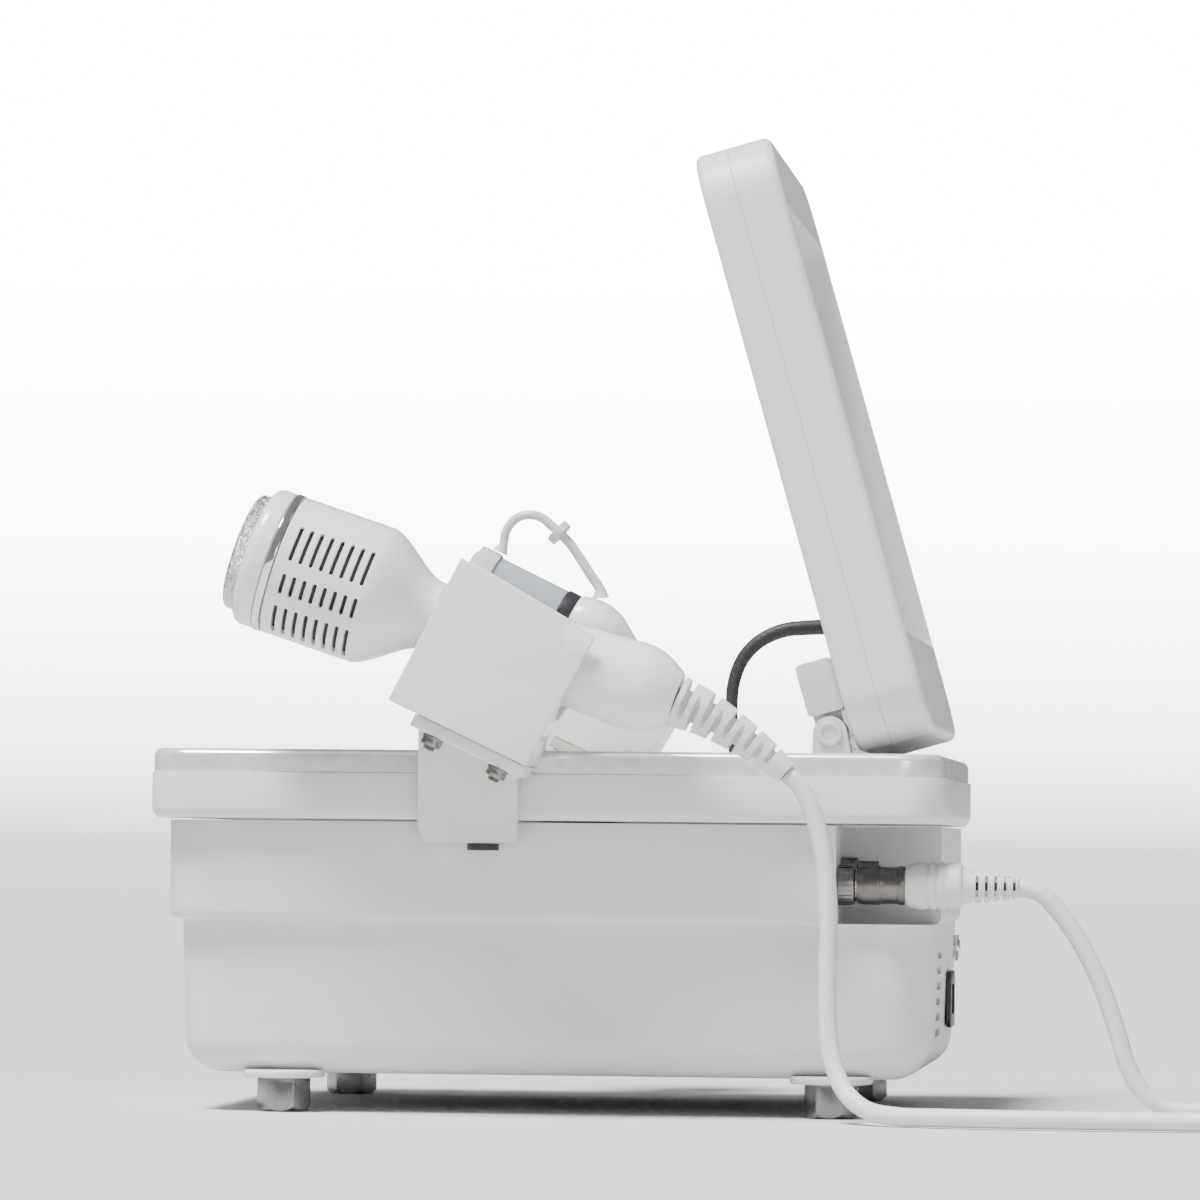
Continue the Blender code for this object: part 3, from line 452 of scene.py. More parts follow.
def smooth_path(anchors, spacing):
    """Points about spacing apart on a Catmull-Rom curve through the anchors."""
    knots = [Vector(anchor) for anchor in anchors]
    knots = [2 * knots[0] - knots[1]] + knots + [2 * knots[-1] - knots[-2]]
    dense = []
    for a, b, c, d in zip(knots, knots[1:], knots[2:], knots[3:]):
        t1 = (b - a).length ** 0.5
        t2 = t1 + (c - b).length ** 0.5
        t3 = t2 + (d - c).length ** 0.5
        for step in range(16):
            t = t1 + (t2 - t1) * step / 16
            a1 = a * (t1 - t) / t1 + b * t / t1
            a2 = b * (t2 - t) / (t2 - t1) + c * (t - t1) / (t2 - t1)
            a3 = c * (t3 - t) / (t3 - t2) + d * (t - t2) / (t3 - t2)
            b1 = a1 * (t2 - t) / t2 + a2 * t / t2
            b2 = a2 * (t3 - t) / (t3 - t1) + a3 * (t - t1) / (t3 - t1)
            dense.append(b1 * (t2 - t) / (t2 - t1) + b2 * (t - t1) / (t2 - t1))
    dense.append(knots[-2])
    run = [0.0]
    for near, far in zip(dense, dense[1:]):
        run.append(run[-1] + (far - near).length)
    count = max(2, round(run[-1] / spacing))
    path, index = [], 0
    for step in range(count + 1):
        target = run[-1] * step / count
        while index < len(run) - 2 and run[index + 1] < target:
            index += 1
        share = (target - run[index]) / (run[index + 1] - run[index])
        path.append(dense[index].lerp(dense[index + 1], share))
    return path


def swept(name, path, radius_at, around=24):
    """A closed tube along path; radius_at(share along, angle) gives its radius in millimetres."""
    bm = bmesh.new()
    rows, side = [], Vector((0, 1, 0))
    last = len(path) - 1
    for i, centre in enumerate(path):
        run = (path[min(i + 1, last)] - path[max(i - 1, 0)]).normalized()
        side = (side - run * side.dot(run)).normalized()
        up = run.cross(side)
        row = []
        for k in range(around):
            angle = 2 * PI * k / around
            radius = radius_at(i / last, angle)
            out = side * (radius * math.cos(angle)) + up * (radius * math.sin(angle))
            row.append(bm.verts.new((centre + out) * MM))
        rows.append(row)
    for near, far in zip(rows, rows[1:]):
        for k in range(around):
            bm.faces.new((near[k], near[(k + 1) % around], far[(k + 1) % around], far[k]))
    bm.faces.new(list(reversed(rows[0])))
    bm.faces.new(rows[-1])
    bmesh.ops.recalc_face_normals(bm, faces=bm.faces)
    return add(name, finish_mesh(name, bm))

# --- Case -----------------------------------------------------------------------------------


def make_case():
    low3 = (TIER3_X[0], -TIER3_Y, CASE_BOTTOM)
    housing = block("housing", low3, (TIER3_X[1], TIER3_Y, TIER_STEP_Z + 1.0), upright=(24, 14),
                    rims=[(16, 10, -1)], draft=DRAFT)
    tier2 = block("tier2", (TIER2_X[0], -TIER2_Y, TIER_STEP_Z), (TIER2_X[1], TIER2_Y, RIM_LOW[2] - GAP),
                  upright=(22, 14), rims=[(4.6, 7, -1)])
    boolean(housing, tier2, "UNION")
    notch = block("notch", (NOTCH_X, -TIER2_Y - 9, TIER_STEP_Z + 1.0),
                  (TIER2_X[1] + 9, NOTCH_Y, RIM_LOW[2] + 9))
    hollow = block("hollow", (TIER3_X[0] + WALL, -TIER3_Y + WALL, CASE_BOTTOM + WALL),
                   (TIER3_X[1] - WALL, TIER3_Y - WALL, TIER_STEP_Z + 0.5), upright=(21, 8),
                   rims=[(13, 5, -1)], draft=DRAFT)
    hollow_top = block("hollow_top", (TIER3_X[0] + WALL, -TIER3_Y + WALL, TIER_STEP_Z),
                       (TIER3_X[1] - WALL, TIER3_Y - WALL, RIM_LOW[2] + 9), upright=(21, 8))
    kept_wall = block("kept_wall", (NOTCH_X - WALL, -TIER2_Y - 9, TIER_STEP_Z + 1.0 - WALL),
                      (TIER2_X[1] + 9, NOTCH_Y + WALL, RIM_LOW[2] + 19))
    boolean(hollow, hollow_top, "UNION")
    boolean(hollow, kept_wall)
    slots = [block(f"vent_{row}", (REAR - 9, FAN[0] - 19, z - 1.6), (REAR + 9, FAN[0] + 19, z + 1.6),
                   upright=(1.5, 4), axis=0)
             for row, z in enumerate(FAN[1] - 17.5 + 7.0 * row for row in range(6))]
    bore = turned("button_bore", disc(5.0, 12.0, -12.0), along_x(REAR, *BUTTON))
    window = block("inlet_window", (REAR - 12, INLET[0] - 13.8, INLET[1] - 10),
                   (REAR + 12, INLET[0] + 13.8, INLET[1] + 10))
    cuts = [notch, hollow, *slots, bore, window]
    boolean(housing, cuts)
    baked(housing, [tier2, hollow_top, kept_wall, *cuts])
    piece(housing, "root", "case", "white_case", "lower_housing")


def make_rim():
    cover = block("cover", (-RIM_X, -RIM_Y, RIM_Z[0]), (RIM_X, RIM_Y, RIM_Z[1]), upright=(20, 14),
                  rims=[(5.4, 8, -1), (0.5, 2, 1)])
    inside = block("inside", (-RIM_X + WALL, -RIM_Y + WALL, RIM_Z[0] - 9), (RIM_X - WALL, RIM_Y - WALL,
                   RIM_Z[1] - WALL), upright=(17, 8))
    ledge = block("ledge", (-RIM_X + 30, -RIM_Y + 30, RIM_Z[0] - 19),
                  (RIM_X - 30, RIM_Y - 30, RIM_Z[1] + 9))
    boolean(cover, [inside, ledge])
    piece(baked(cover, [inside, ledge]), "root", "case", "white_case", "top_cover")
    trim = block("trim", (-RIM_X + 0.9, -RIM_Y + 0.9, RIM_Z[1] + 0.02),
                 (RIM_X - 1.2, RIM_Y - 1.2, TRIM_TOP), upright=(19, 16), rims=[(3.6, 7, 1), (0.3, 1, -1)])
    inner = block("trim_inner", (-RIM_X + 13, -RIM_Y + 13, RIM_Z[1] - 9),
                  (RIM_X - 13, RIM_Y - 13, TRIM_TOP + 9), upright=(9, 8))
    boolean(trim, inner)
    piece(baked(trim, [inner]), "root", "trim", "silver_trim", "trim_band")


def make_feet():
    number = 1
    for x in FOOT_X:
        for y in (-FOOT_Y, FOOT_Y):
            spot = place(x, y, 0)
            nut = turned(f"foot_nut_{number}", disc(FOOT_R, 15.6, 0.1), spot, 6)
            chamfer = turned(f"nut_chamfer_{number}", [(0, 17.0), (10.6, 17.0), (12.3, 13.6), (12.3, 2.4),
                                                       (10.2, 0.0), (0, 0.0)], spot, 64)
            boolean(nut, chamfer, "INTERSECT")
            baked(nut, [chamfer], 0.35, 20.0)
            piece(nut, "root", "steel", "foot_metal", f"foot_{number}")
            boss = turned(f"foot_boss_{number}", soften(disc(18.4, CASE_BOTTOM + 1.5, 15.0), 1.4, 5),
                          spot, 64)
            piece(baked(boss), "root", "case", "white_case", f"foot_{number}")
            number += 1


# --- Rear face ------------------------------------------------------------------------------
REAR = TIER3_X[1]
FAN, BUTTON, INLET = (-40.0, 54.0), (95.0, 73.0), (45.0, 50.0)


def rear_face_x(z):
    return REAR - DRAFT * (1.0 - (z - CASE_BOTTOM) / (TIER_STEP_Z + 1.0 - CASE_BOTTOM))


def make_rear():
    axis = along_x(rear_face_x(BUTTON[1] + 7), *BUTTON)
    bezel = turned("button_bezel", soften(ring(6.2, 4.6, 2.2, GAP), 0.5), axis, 64, True)
    piece(baked(bezel), "root", "chrome", "chrome", "power_button_ring")
    cap = turned("button_cap", [(0, 2.5), (2.4, 2.6), (3.5, 2.85), (4.0, 2.5), (4.2, 1.9), (4.2, -7.5),
                                (0, -7.5)], axis, 64)
    piece(baked(cap), "button", "chrome", "chrome", "power_button")
    x = rear_face_x(INLET[1])
    inlet = block("inlet", (REAR - 22, INLET[0] - 13.4, INLET[1] - 9.6),
                  (x + 1.0, INLET[0] + 13.4, INLET[1] + 9.6))
    flange_x = rear_face_x(INLET[1] + 14) + GAP
    flange = block("inlet_flange", (flange_x, INLET[0] - 20, INLET[1] - 13),
                   (flange_x + 2.1, INLET[0] + 20, INLET[1] + 13), upright=(4, 8), axis=0,
                   rims=[(0.6, 2, 1)])
    boolean(inlet, flange, "UNION")
    mouth = block("inlet_mouth_cut", (REAR - 14, INLET[0] - 11, INLET[1] - 7), (REAR + 20, INLET[0] + 11,
                  INLET[1] + 7), upright=(3, 6), axis=0)
    holes = [turned(f"inlet_hole_{side}", disc(1.7, 9.0, -9.0),
                    along_x(x, INLET[0] + side * 16.6, INLET[1]), 32) for side in (-1, 1)]
    boolean(inlet, [mouth, *holes])
    piece(baked(inlet, [flange, mouth, *holes]), "root", "black", "black_plastic", "mains_inlet")
    for number, (y, z) in enumerate(((-5.5, -1.5), (0.0, 2.5), (5.5, -1.5))):
        pin = rounded(f"inlet_pin_{number}", (REAR - 15, INLET[0] + y - 0.9, INLET[1] + z - 2.1),
                      (REAR - 2.5, INLET[0] + y + 0.9, INLET[1] + z + 2.1), 0.4)
        piece(baked(pin), "root", "chrome", "chrome")


# --- Connectors -----------------------------------------------------------------------------


def make_connectors():
    for name, (y, z) in (("socket_a", SOCKET_A), ("socket_b", SOCKET_B)):
        axis = along_x(NOTCH_X, y, z)
        barrel = turned(f"barrel_{name[-1]}",
                        soften([(0, 17.0), (7.2, 17.0), (7.2, 8.0), (8.9, 7.6), (8.9, GAP), (0, GAP)],
                               0.45), axis)
        tools = []
        for number in range(24):
            turn = Matrix.Rotation(2 * PI * number / 24, 4, "Z")
            tools.append(block(f"flute_{number}", (8.55, -0.35, 0.9), (9.6, 0.35, 6.9), axis @ turn))
        if name == "socket_b":
            tools.append(turned("socket_bore", disc(5.6, 30.0, 9.0), axis, 48))
        boolean(barrel, tools)
        piece(baked(barrel, tools), "root", "steel", "foot_metal", name)
        if name == "socket_b":
            contacts = [(3.2 * math.cos(a), 3.2 * math.sin(a)) for a in (0.6, 1.9, 3.1, 4.4, 5.6)]
            for number, (dy, dz) in enumerate(contacts):
                contact = turned(f"socket_contact_{number}", soften(disc(0.7, 15.0, 8.9), 0.4),
                                 along_x(NOTCH_X, y + dy, z + dz), 24)
                piece(baked(contact), "root", "chrome", "chrome")
    axis = along_x(NOTCH_X, *SOCKET_A)
    collar = turned("collar", soften([(8.6, 30.0), (8.6, 27.5), (8.2, 26.8), (8.2, 19.5), (8.6, 18.8),
                                      (8.6, 12.0), (8.0, 9.0), (7.5, 9.0), (7.5, 30.0)], 0.3), axis, 96,
                    True)
    piece(baked(collar), "root", "nickel", "foot_metal", "plug_a_collar")
    ridges = []
    for start in (39.2, 43.2, 47.2):
        ridges += [(10.5, start), (9.9, start + 0.6), (9.9, start + 1.5), (10.5, start + 2.1)]
    outer = [(6.9, 17.3), (6.9, 30.3), (8.6, 30.3), (9.7, 32.4), (10.5, 36.0), *ridges, (10.5, 53.6),
             (10.1, 55.0), (8.3, 55.8), (7.9, 57.0), (7.6, 58.2), (6.6, 70.0), (5.6, 78.5), (4.9, 80.4)]
    body = turned("plug", [(0, 17.3), *soften(outer, 0.35, closed=False), (0, 80.4)][::-1], axis, 112)
    slots = []
    for number in range(5):
        for side in range(4):
            start = 59.4 + 4.1 * number + 2.0 * (side % 2)
            turn = Matrix.Rotation(PI / 2 * side, 4, "Z")
            slots.append(block(f"relief_{number}_{side}", (3.9, -4.6, start), (12.0, 4.6, start + 1.35),
                               axis @ turn))
    boolean(body, slots)
    body = piece(baked(body, slots), "root", "boot", "cord_grey", "plug_a_body")
    # The relief's core is near-black: painted shade seen through the strain relief's slots.
    core = turned("relief_core", soften(disc(4.3, 79.4, 56.6), 0.4), axis, 48)
    return [collar, body, piece(baked(core), "root", "painted_gap_shade", "cord_grey", "plug_a_body")]


# --- Lid ------------------------------------------------------------------------------------


def make_hinges(lid):
    for side, name in ((-1, "near"), (1, "far")):
        outer, split, inner = HINGE_Y + 6, HINGE_Y - 6, HINGE_Y - 20
        spans = [sorted((side * a, side * b))
                 for a, b in ((outer, split), (split - 0.4, inner), (outer, inner))]
        arc = [(PIN[0] + 7.6 * math.cos(math.radians(a)), PIN[2] + 7.6 * math.sin(math.radians(a)))
               for a in range(0, 181, 6)]
        base = outline_solid(f"hinge_base_{name}",
                             [(135.0, DECK_TOP + GAP)] + arc + [(117.4, DECK_TOP + GAP)], *spans[0])
        leaf = block(f"leaf_{name}", (-7.3, spans[2][0], 9.2), (LID_W[0] - GAP, spans[2][1], 33.0), lid,
                     upright=(2.2, 5), axis=1)
        knuckle = turned(f"knuckle_{name}", disc(7.4, spans[1][1], spans[1][0]),
                         lid @ Matrix.Rotation(-PI / 2, 4, "X"), 64)
        web = block(f"web_{name}", (-6.0, spans[1][0], 2.0), (6.0, spans[1][1], 10.5), lid)
        bore = turned(f"pin_bore_{name}", disc(4.3, 160.0, -160.0),
                      lid @ Matrix.Rotation(-PI / 2, 4, "X"), 48)
        boolean(leaf, [knuckle, web], "UNION")
        boolean(leaf, bore)
        boolean(base, bore)
        baked(leaf, [knuckle, web], 0.5)
        baked(base, [bore], 0.5)
        piece(base, "root", "cast", "hinge_grey", f"hinge_block_{name}")
        piece(leaf, "lid", "cast", "hinge_grey", f"hinge_leaf_{name}")
        axis = along_y(PIN[0], 0, PIN[2]) @ Matrix.Rotation(0.0 if side < 0 else PI, 4, "X")
        head, tip = outer + GAP, inner + 0.5
        pin = turned(f"pin_{name}", [(0, head + 0.6), (3.3, head + 0.6), (3.7, head + 1.5),
                                     (4.6, head + 1.6), (5.3, head + 1.3), (5.6, head + 0.7), (5.6, head),
                                     (4.0, head), (4.0, tip), (0, tip)], axis, 64)
        piece(baked(pin), "root", "cast", "hinge_grey", f"hinge_pin_{name}")


def make_lid(lid):
    (u_low, u_high), (w_low, w_high) = LID_U, LID_W
    bezel = block("bezel", (w_low, -LID_Y, u_low), (LID_SEAM - 0.04, LID_Y, u_high), lid,
                  upright=(LID_R, 16), axis=0, rims=[(3.2, 6, -1), (0.25, 1, 1)])
    pocket = block("bezel_pocket", (w_low + 4.0, -LID_Y + WALL, u_low + WALL), (LID_SEAM + 9, LID_Y - WALL,
                   u_high - WALL), lid, upright=(LID_R - WALL, 10), axis=0)
    window = block("bezel_window", (w_low - 9, -101, 44), (w_low + 9, 101, 232), lid)
    boolean(bezel, [pocket, window])
    piece(baked(bezel, [pocket, window]), "lid", "case", "white_case", "lid_front_bezel")
    back = block("lid_back", (LID_SEAM + 0.04, -LID_Y, u_low), (w_high, LID_Y, u_high), lid,
                 upright=(LID_R, 16), axis=0, rims=[(4.2, 7, 1), (0.25, 1, -1)])
    (r_low, r_high), r_y, depth = LID_RECESS
    recess = block("back_recess", (w_high - depth, -r_y, r_low), (w_high + 9, r_y, r_high), lid,
                   upright=(6, 8), axis=0)
    room = block("back_room", (LID_SEAM - 9, -LID_Y + WALL, u_low + WALL),
                 (w_high - depth - WALL, LID_Y - WALL, u_high - WALL), lid, upright=(LID_R - WALL, 10),
                 axis=0)
    boolean(back, [recess, room])
    piece(baked(back, [recess, room]), "lid", "case", "white_case", "lid_back_shell")
    glass = rounded("glass_pane", (w_low + 0.4, -100.6, 44.4), (w_low + 3.7, 100.6, 231.6), 0.5, lid)
    piece(baked(glass), "lid", "glass", "glass_dark", "screen_glass")


def make_display_cable():
    rises = [(74.0, 0, DECK_TOP - 0.9), (73.0, 0, 170.0), (72.2, 0, 184.7), (73.2, 0, 196.0),
             (77.4, 0, 206.8), (85.0, 0, 214.8), (96.0, 0, 219.8), (109.0, 0, 221.2), (119.6, 0, 221.6)]
    path = smooth_path(rises, 1.2)
    cable = swept("cable_sleeve", path, lambda share, _: 2.5 + 1.1 * share, 28)
    cable.data.shade_smooth()
    cable.data.materials.append(LOOKS["sleeve"])
    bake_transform(cable)
    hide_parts("display_cable")


# --- Holders --------------------------------------------------------------------------------


def make_holder(tag, corner, y, rear_height, front_height, seat_height):
    """A cradle with a round bed, on a plate that two nuts hold."""
    holder = place(corner[0], y, corner[1], CRADLE_TILT)
    half, inner = CRADLE_WIDTH / 2, CRADLE_WIDTH / 2 - CRADLE_WALL
    length = CRADLE_LENGTH
    outline = [(0, 0), (length, 0), (length + 3.5, rear_height), (2.0, front_height)]
    cradle = outline_solid(f"cradle_wall_{tag}", outline, -half, half, holder)
    seat = seat_height + inner
    bed = turned(f"bed_{tag}", disc(inner, 100.0, -100.0),
                 holder @ along_x(length / 2, 0, seat), 96)
    mouth = block(f"mouth_{tag}", (-30, -inner + 0.01, seat), (length + 30, inner - 0.01, 120), holder)
    boolean(cradle, [bed, mouth])
    baked(cradle, [bed, mouth], 0.9, 40.0, 3)
    piece(cradle, "root", "gloss", "gloss_white", f"cradle_{tag}")
    plate = rounded(f"plate_{tag}", (13, -half + 3.5, -6.0), (length, half - 1.0, -GAP), 0.8, holder)
    piece(baked(plate), "root", "gloss", "gloss_white", f"cradle_plate_{tag}")
    side = 1 if y > 0 else -1
    for number, along in enumerate(BOLTS_ALONG, 1):
        spot = holder @ Matrix.Translation((along * MM, BOLT_Y * side * MM, 0))
        washer = turned(f"washer_{tag}{number}", soften(disc(4.9, -6.2, -7.2), 0.3), spot, 48)
        shank = turned(f"nut_{tag}{number}", disc(4.6, -7.2, -10.4), spot, 6)
        tip = turned(f"thread_{tag}{number}", [(0, -10.4)] + [(2.4 + 0.3 * (i % 2), -10.4 - 0.35 * i)
                                                              for i in range(6)] + [(0, -12.4)], spot, 40)
        for made in (washer, tip):
            baked(made)
        baked(shank, edge=0.3)
        for made in (washer, shank, tip):
            nodes = [f"cradle_bolt_a{number}"] if tag == "a" else []
            piece(made, "root", "steel", "foot_metal", *nodes)
    return holder


def make_clamp(tag, corner, y, holder):
    """The bracket that hangs a holder on the rim: leg outside, hook over it, lip under it."""
    side = 1 if y > 0 else -1
    x_low, x_high = corner[0] + 8.8, corner[0] + 52.8
    reach = abs(y) - 14.5

    def span(a, b):
        return sorted((side * a, side * b))

    def slab(name, xs, ys, zs):
        return block(name, (xs[0], ys[0], zs[0]), (xs[1], ys[1], zs[1]))

    corners = [(x_low, 178.0), (x_low, CLAMP_FOOT + 7.5), (x_low + 3.4, CLAMP_FOOT),
               (x_high - 1.5, CLAMP_FOOT), (x_high, CLAMP_FOOT + 1.5), (x_high, 178.0)]
    bracket = outline_solid(f"bracket_{tag}", corners, *span(RIM_Y + GAP, reach))
    slope = block(f"clamp_slope_{tag}", (-60, -60, -6.0 - GAP), (160, 60, 120), holder)
    lip = slab(f"clamp_lip_{tag}", (x_low + 3.4, x_high - 1.5), span(RIM_Y - 6.5, RIM_Y + 3),
               (CLAMP_FOOT, RIM_LOW[2] - GAP))
    hook = slab(f"clamp_hook_{tag}", (x_low, x_low + 10.0), span(RIM_Y - 20, RIM_Y + 2),
                (TRIM_TOP + GAP, TRIM_TOP + 4.2))
    boolean(bracket, slope)
    boolean(bracket, [lip, hook], "UNION")
    baked(bracket, [slope, lip, hook], 1.1, 30.0, 3)
    piece(bracket, "root", "gloss", "gloss_white", f"clamp_bracket_{tag}")
    knob = turned(f"knob_{tag}", soften(disc(7.2, 120.2, 117.0), 0.6),
                  place(x_low + 28.5, side * (RIM_Y + 3.5), 0), 48)
    piece(baked(knob), "root", "black", "black_plastic", f"clamp_screw_{tag}")


# --- Handpiece A ----------------------------------------------------------------------------


def head_radius(s):
    """Outer radius of the head and neck, s behind the nose."""
    if s < 62.0:
        return HEAD_R
    share = min(1.0, (s - 62.0) / 27.0)
    return HEAD_R + (NECK_R - HEAD_R) * (0.35 * share + 0.65 * share * share * (3 - 2 * share))


def handle_radius(s):
    """Outer radius of the handle: a long swell, then a quick taper at the tail."""
    if s < SWELL_END:
        return NECK_R + (HANDLE_SWELL - NECK_R) * ((s - 92.0) / (SWELL_END - 92.0)) ** 0.9
    return HANDLE_SWELL - (HANDLE_SWELL - TAIL_R) * ((s - SWELL_END) / (HANDLE_END - SWELL_END)) ** 1.8


def boot_radius(share, angle):
    """Five deep cuts that are open at the top and four that are open below, each with a solid bridge."""
    radius = 11.5 - 6.2 * share
    upward = math.sin(angle)
    depth = 0.0
    for first, count, facing in ((0.07, 5, upward), (0.165, 4, -upward)):
        reach = min(1.0, max(0.0, (facing + 0.62) / 0.5))
        half = (0.0125 + 0.012 * reach) * (1.0 - 0.25 * share)
        for number in range(count):
            edge = (half - abs(share - first - 0.19 * number)) / 0.004
            depth = max(depth, reach * min(1.0, max(0.0, edge)))
    return radius * (1.0 - 0.40 * depth)


BOOT_A = [(61.6, HOLD_A_Y, 183.0), (74.0, HOLD_A_Y, 177.6), (87.0, HOLD_A_Y, 169.8),
          (98.5, HOLD_A_Y, 161.6), (109.6, HOLD_A_Y, 152.2)]


def make_handpiece_a():
    hand = place(HEAD_FRONT[0], HOLD_A_Y, HEAD_FRONT[1], HEAD_TILT - 90.0)
    face = turned("face_plate", [(0, 1.6), (4, 1.58), (8, 1.5), (12, 1.25), (16, 0.9), (20, 0.4),
                                 (23, -0.1), (24.8, -0.7), (25.8, -1.5), (26.3, -2.8), (26.3, -8.0),
                                 (0, -8.0)], hand, 128)
    piece(baked(face), "handpiece_a", "glitter", "chrome", "contact_plate_a")
    nose = turned("nose", soften([(27.6, -6.2), (30.3, -7.8), (HEAD_R, -10.2), (HEAD_R, -16.2),
                                  (26.8, -16.2), (26.8, -6.2)], 0.9, 4), hand, 128, True)
    piece(baked(nose), "handpiece_a", "shell", "handpiece_white", "nose_ring_a")
    band = turned("band", soften(ring(31.5, 27.8, -16.5, -20.0), 0.7), hand, 128, True)
    piece(baked(band), "handpiece_a", "chrome", "chrome", "chrome_ring_a")
    outer = [(head_radius(20.3) - 0.6, -20.3), (head_radius(21), -20.9), (HEAD_R, -62.0)]
    outer += [(head_radius(s), -s) for s in [62.6 + 1.2 * i for i in range(24)]] + [(NECK_R, -92.0)]
    inner = [(max(radius - 2.5, 10.0), height) for radius, height in reversed(outer)]
    head = turned("head", outer + inner, hand, 128, True)
    slots = []
    for row, (start, end) in enumerate(VENT_ROWS):
        middle = math.radians((start + end) / 2)
        half_chord = HEAD_R * math.sin(math.radians((end - start) / 2))
        for number in range(VENT_COUNT):
            turn = Matrix.Rotation(-PI / 2 - middle, 4, "Z")
            shift = Matrix.Translation((0, 0, -(VENT_START + VENT_PITCH * number) * MM))
            slots.append(block(f"slot_{row}_{number}", (HEAD_R - 6, -half_chord, -VENT_WIDTH / 2),
                               (HEAD_R + 4, half_chord, VENT_WIDTH / 2), hand @ shift @ turn,
                               (0.9, 4), 0))
    boolean(head, slots)
    piece(baked(head, slots), "handpiece_a", "shell", "handpiece_white", "head_shell_a")
    # A near-black liner behind the vent slots: painted shade seen through them.
    liner = turned("head_liner", soften(ring(28.3, 24.0, -22.0, -63.5), 0.4), hand, 64, True)
    piece(baked(liner), "handpiece_a", "painted_gap_shade", "black_plastic")
    stations = [92.3 + 1.6 * i for i in range(70)] + [HANDLE_END]
    outer = [(handle_radius(s), -s) for s in stations]
    inner = [(6.0, -HANDLE_END), (6.0, -200.0)] + [(handle_radius(s) - 2.5, -s)
                                                   for s in (197, 186, 160, 120, 92.3)]
    handle = turned("handle", outer + inner, hand, 128, True)
    piece(baked(handle), "handpiece_a", "shell", "handpiece_white", "handle_a")
    boot = swept("boot", smooth_path(BOOT_A, 0.35), boot_radius, 96)
    boot.data.shade_smooth()
    boot.data.set_sharp_from_angle(angle=math.radians(50))
    piece(boot, "handpiece_a", "boot", "cord_grey", "boot_a")


# --- Handpiece B ----------------------------------------------------------------------------
TETHER = [(-55.9, HOLD_B_Y, 262.7), (-54.5, HOLD_B_Y, 265.9), (-52.9, HOLD_B_Y, 273.6),
          (-48.1, HOLD_B_Y, 279.4), (-41.9, HOLD_B_Y, 281.2), (-35.8, HOLD_B_Y, 279.9),
          (-31.0, HOLD_B_Y, 276.2), (-26.8, HOLD_B_Y, 272.4), (-21.6, HOLD_B_Y, 267.2),
          (-16.4, HOLD_B_Y, 259.8), (-11.0, HOLD_B_Y, 251.6), (-6.6, HOLD_B_Y, 244.8),
          (-6.2, HOLD_B_Y, 240.8)]
BEAD_SHARE = 0.53


def make_handpiece_b():
    hand = place(TIP_B[0], HOLD_B_Y, TIP_B[1], TIP_B_TILT - 90.0)
    cap = turned("cap", soften([(0, 1.8), (9.0, 1.8), (11.0, 0.2), (13.8, -0.6), (13.8, -11.0),
                                (12.8, -11.0), (12.8, -0.2), (0, -0.2)], 0.5), hand)
    piece(baked(cap), "cap_b", "silicone", "silicone", "silicone_cap_b")
    tip = turned("tip", soften([(0, -0.5), (10.0, -0.5), (12.4, -2.5), (12.5, -48.0), (10.4, -48.0),
                                (10.4, -4.0), (0, -4.0)], 0.6), hand)
    piece(baked(tip), "handpiece_b", "clear", "clear_tip", "clear_tip_b")
    core = turned("tip_core", soften([(0, -6.0), (7.6, -6.4), (8.2, -10.0), (8.2, -52.0), (0, -52.0)],
                                     0.8), hand)
    piece(baked(core), "handpiece_b", "sheet", "inner_metal")
    band = turned("dark_band", soften(ring(13.2, 4.0, -48.3, -54.5), 0.5), hand, 96, True)
    piece(baked(band), "handpiece_b", "black", "black_plastic", "dark_ring_b")
    body = turned("grip", soften([(13.4, -54.8), (14.8, -59.0), (15.5, -64.0), (15.6, -70.0), (13.6, -77.0),
                                  (9.4, -83.6), (6.2, -88.4), (3.6, -88.4), (6.6, -82.4), (10.8, -75.6),
                                  (12.6, -70.0), (12.4, -64.0), (10.8, -54.8)], 1.6, 5), hand, 96, True)
    piece(baked(body), "handpiece_b", "shell", "handpiece_white", "body_b")
    profile = [(0, -88.7), (6.0, -88.7)]
    for number in range(4):
        z = -91.0 - 4.2 * number
        outer = 6.0 + (3.9 - 6.0) * (-88.7 - z) / 19.3
        profile += [(outer, z), (outer - 0.9, z - 0.4), (outer - 0.9, z - 1.7), (outer, z - 2.1)]
    boot = turned("boot_far", profile + [(3.9, -108.0), (0, -108.0)], hand, 64)
    piece(baked(boot), "handpiece_b", "boot", "cord_grey", "boot_b")
    path = smooth_path(TETHER, 0.8)

    def width(share, _):
        flare = max(0.0, 1.0 - min(share, 1.0 - share) / 0.07)
        return 2.15 + 0.35 * share + 1.9 * flare ** 2

    tether = swept("tether", path, width, 28)
    tether.data.shade_smooth()
    tether.data.set_sharp_from_angle(angle=math.radians(50))
    piece(tether, "handpiece_b", "silicone", "silicone", "tether_b")
    index = round(BEAD_SHARE * (len(path) - 1))
    run = (path[index + 1] - path[index - 1]).normalized()
    turn = Vector((0, 0, 1)).rotation_difference(run).to_matrix().to_4x4()
    bead = turned("bead", soften(ring(6.2, 2.4, 2.2, -2.2), 0.9, 4),
                  Matrix.Translation(path[index] * MM) @ turn, 64, True)
    piece(baked(bead), "handpiece_b", "silicone", "silicone", "tether_bead_b")


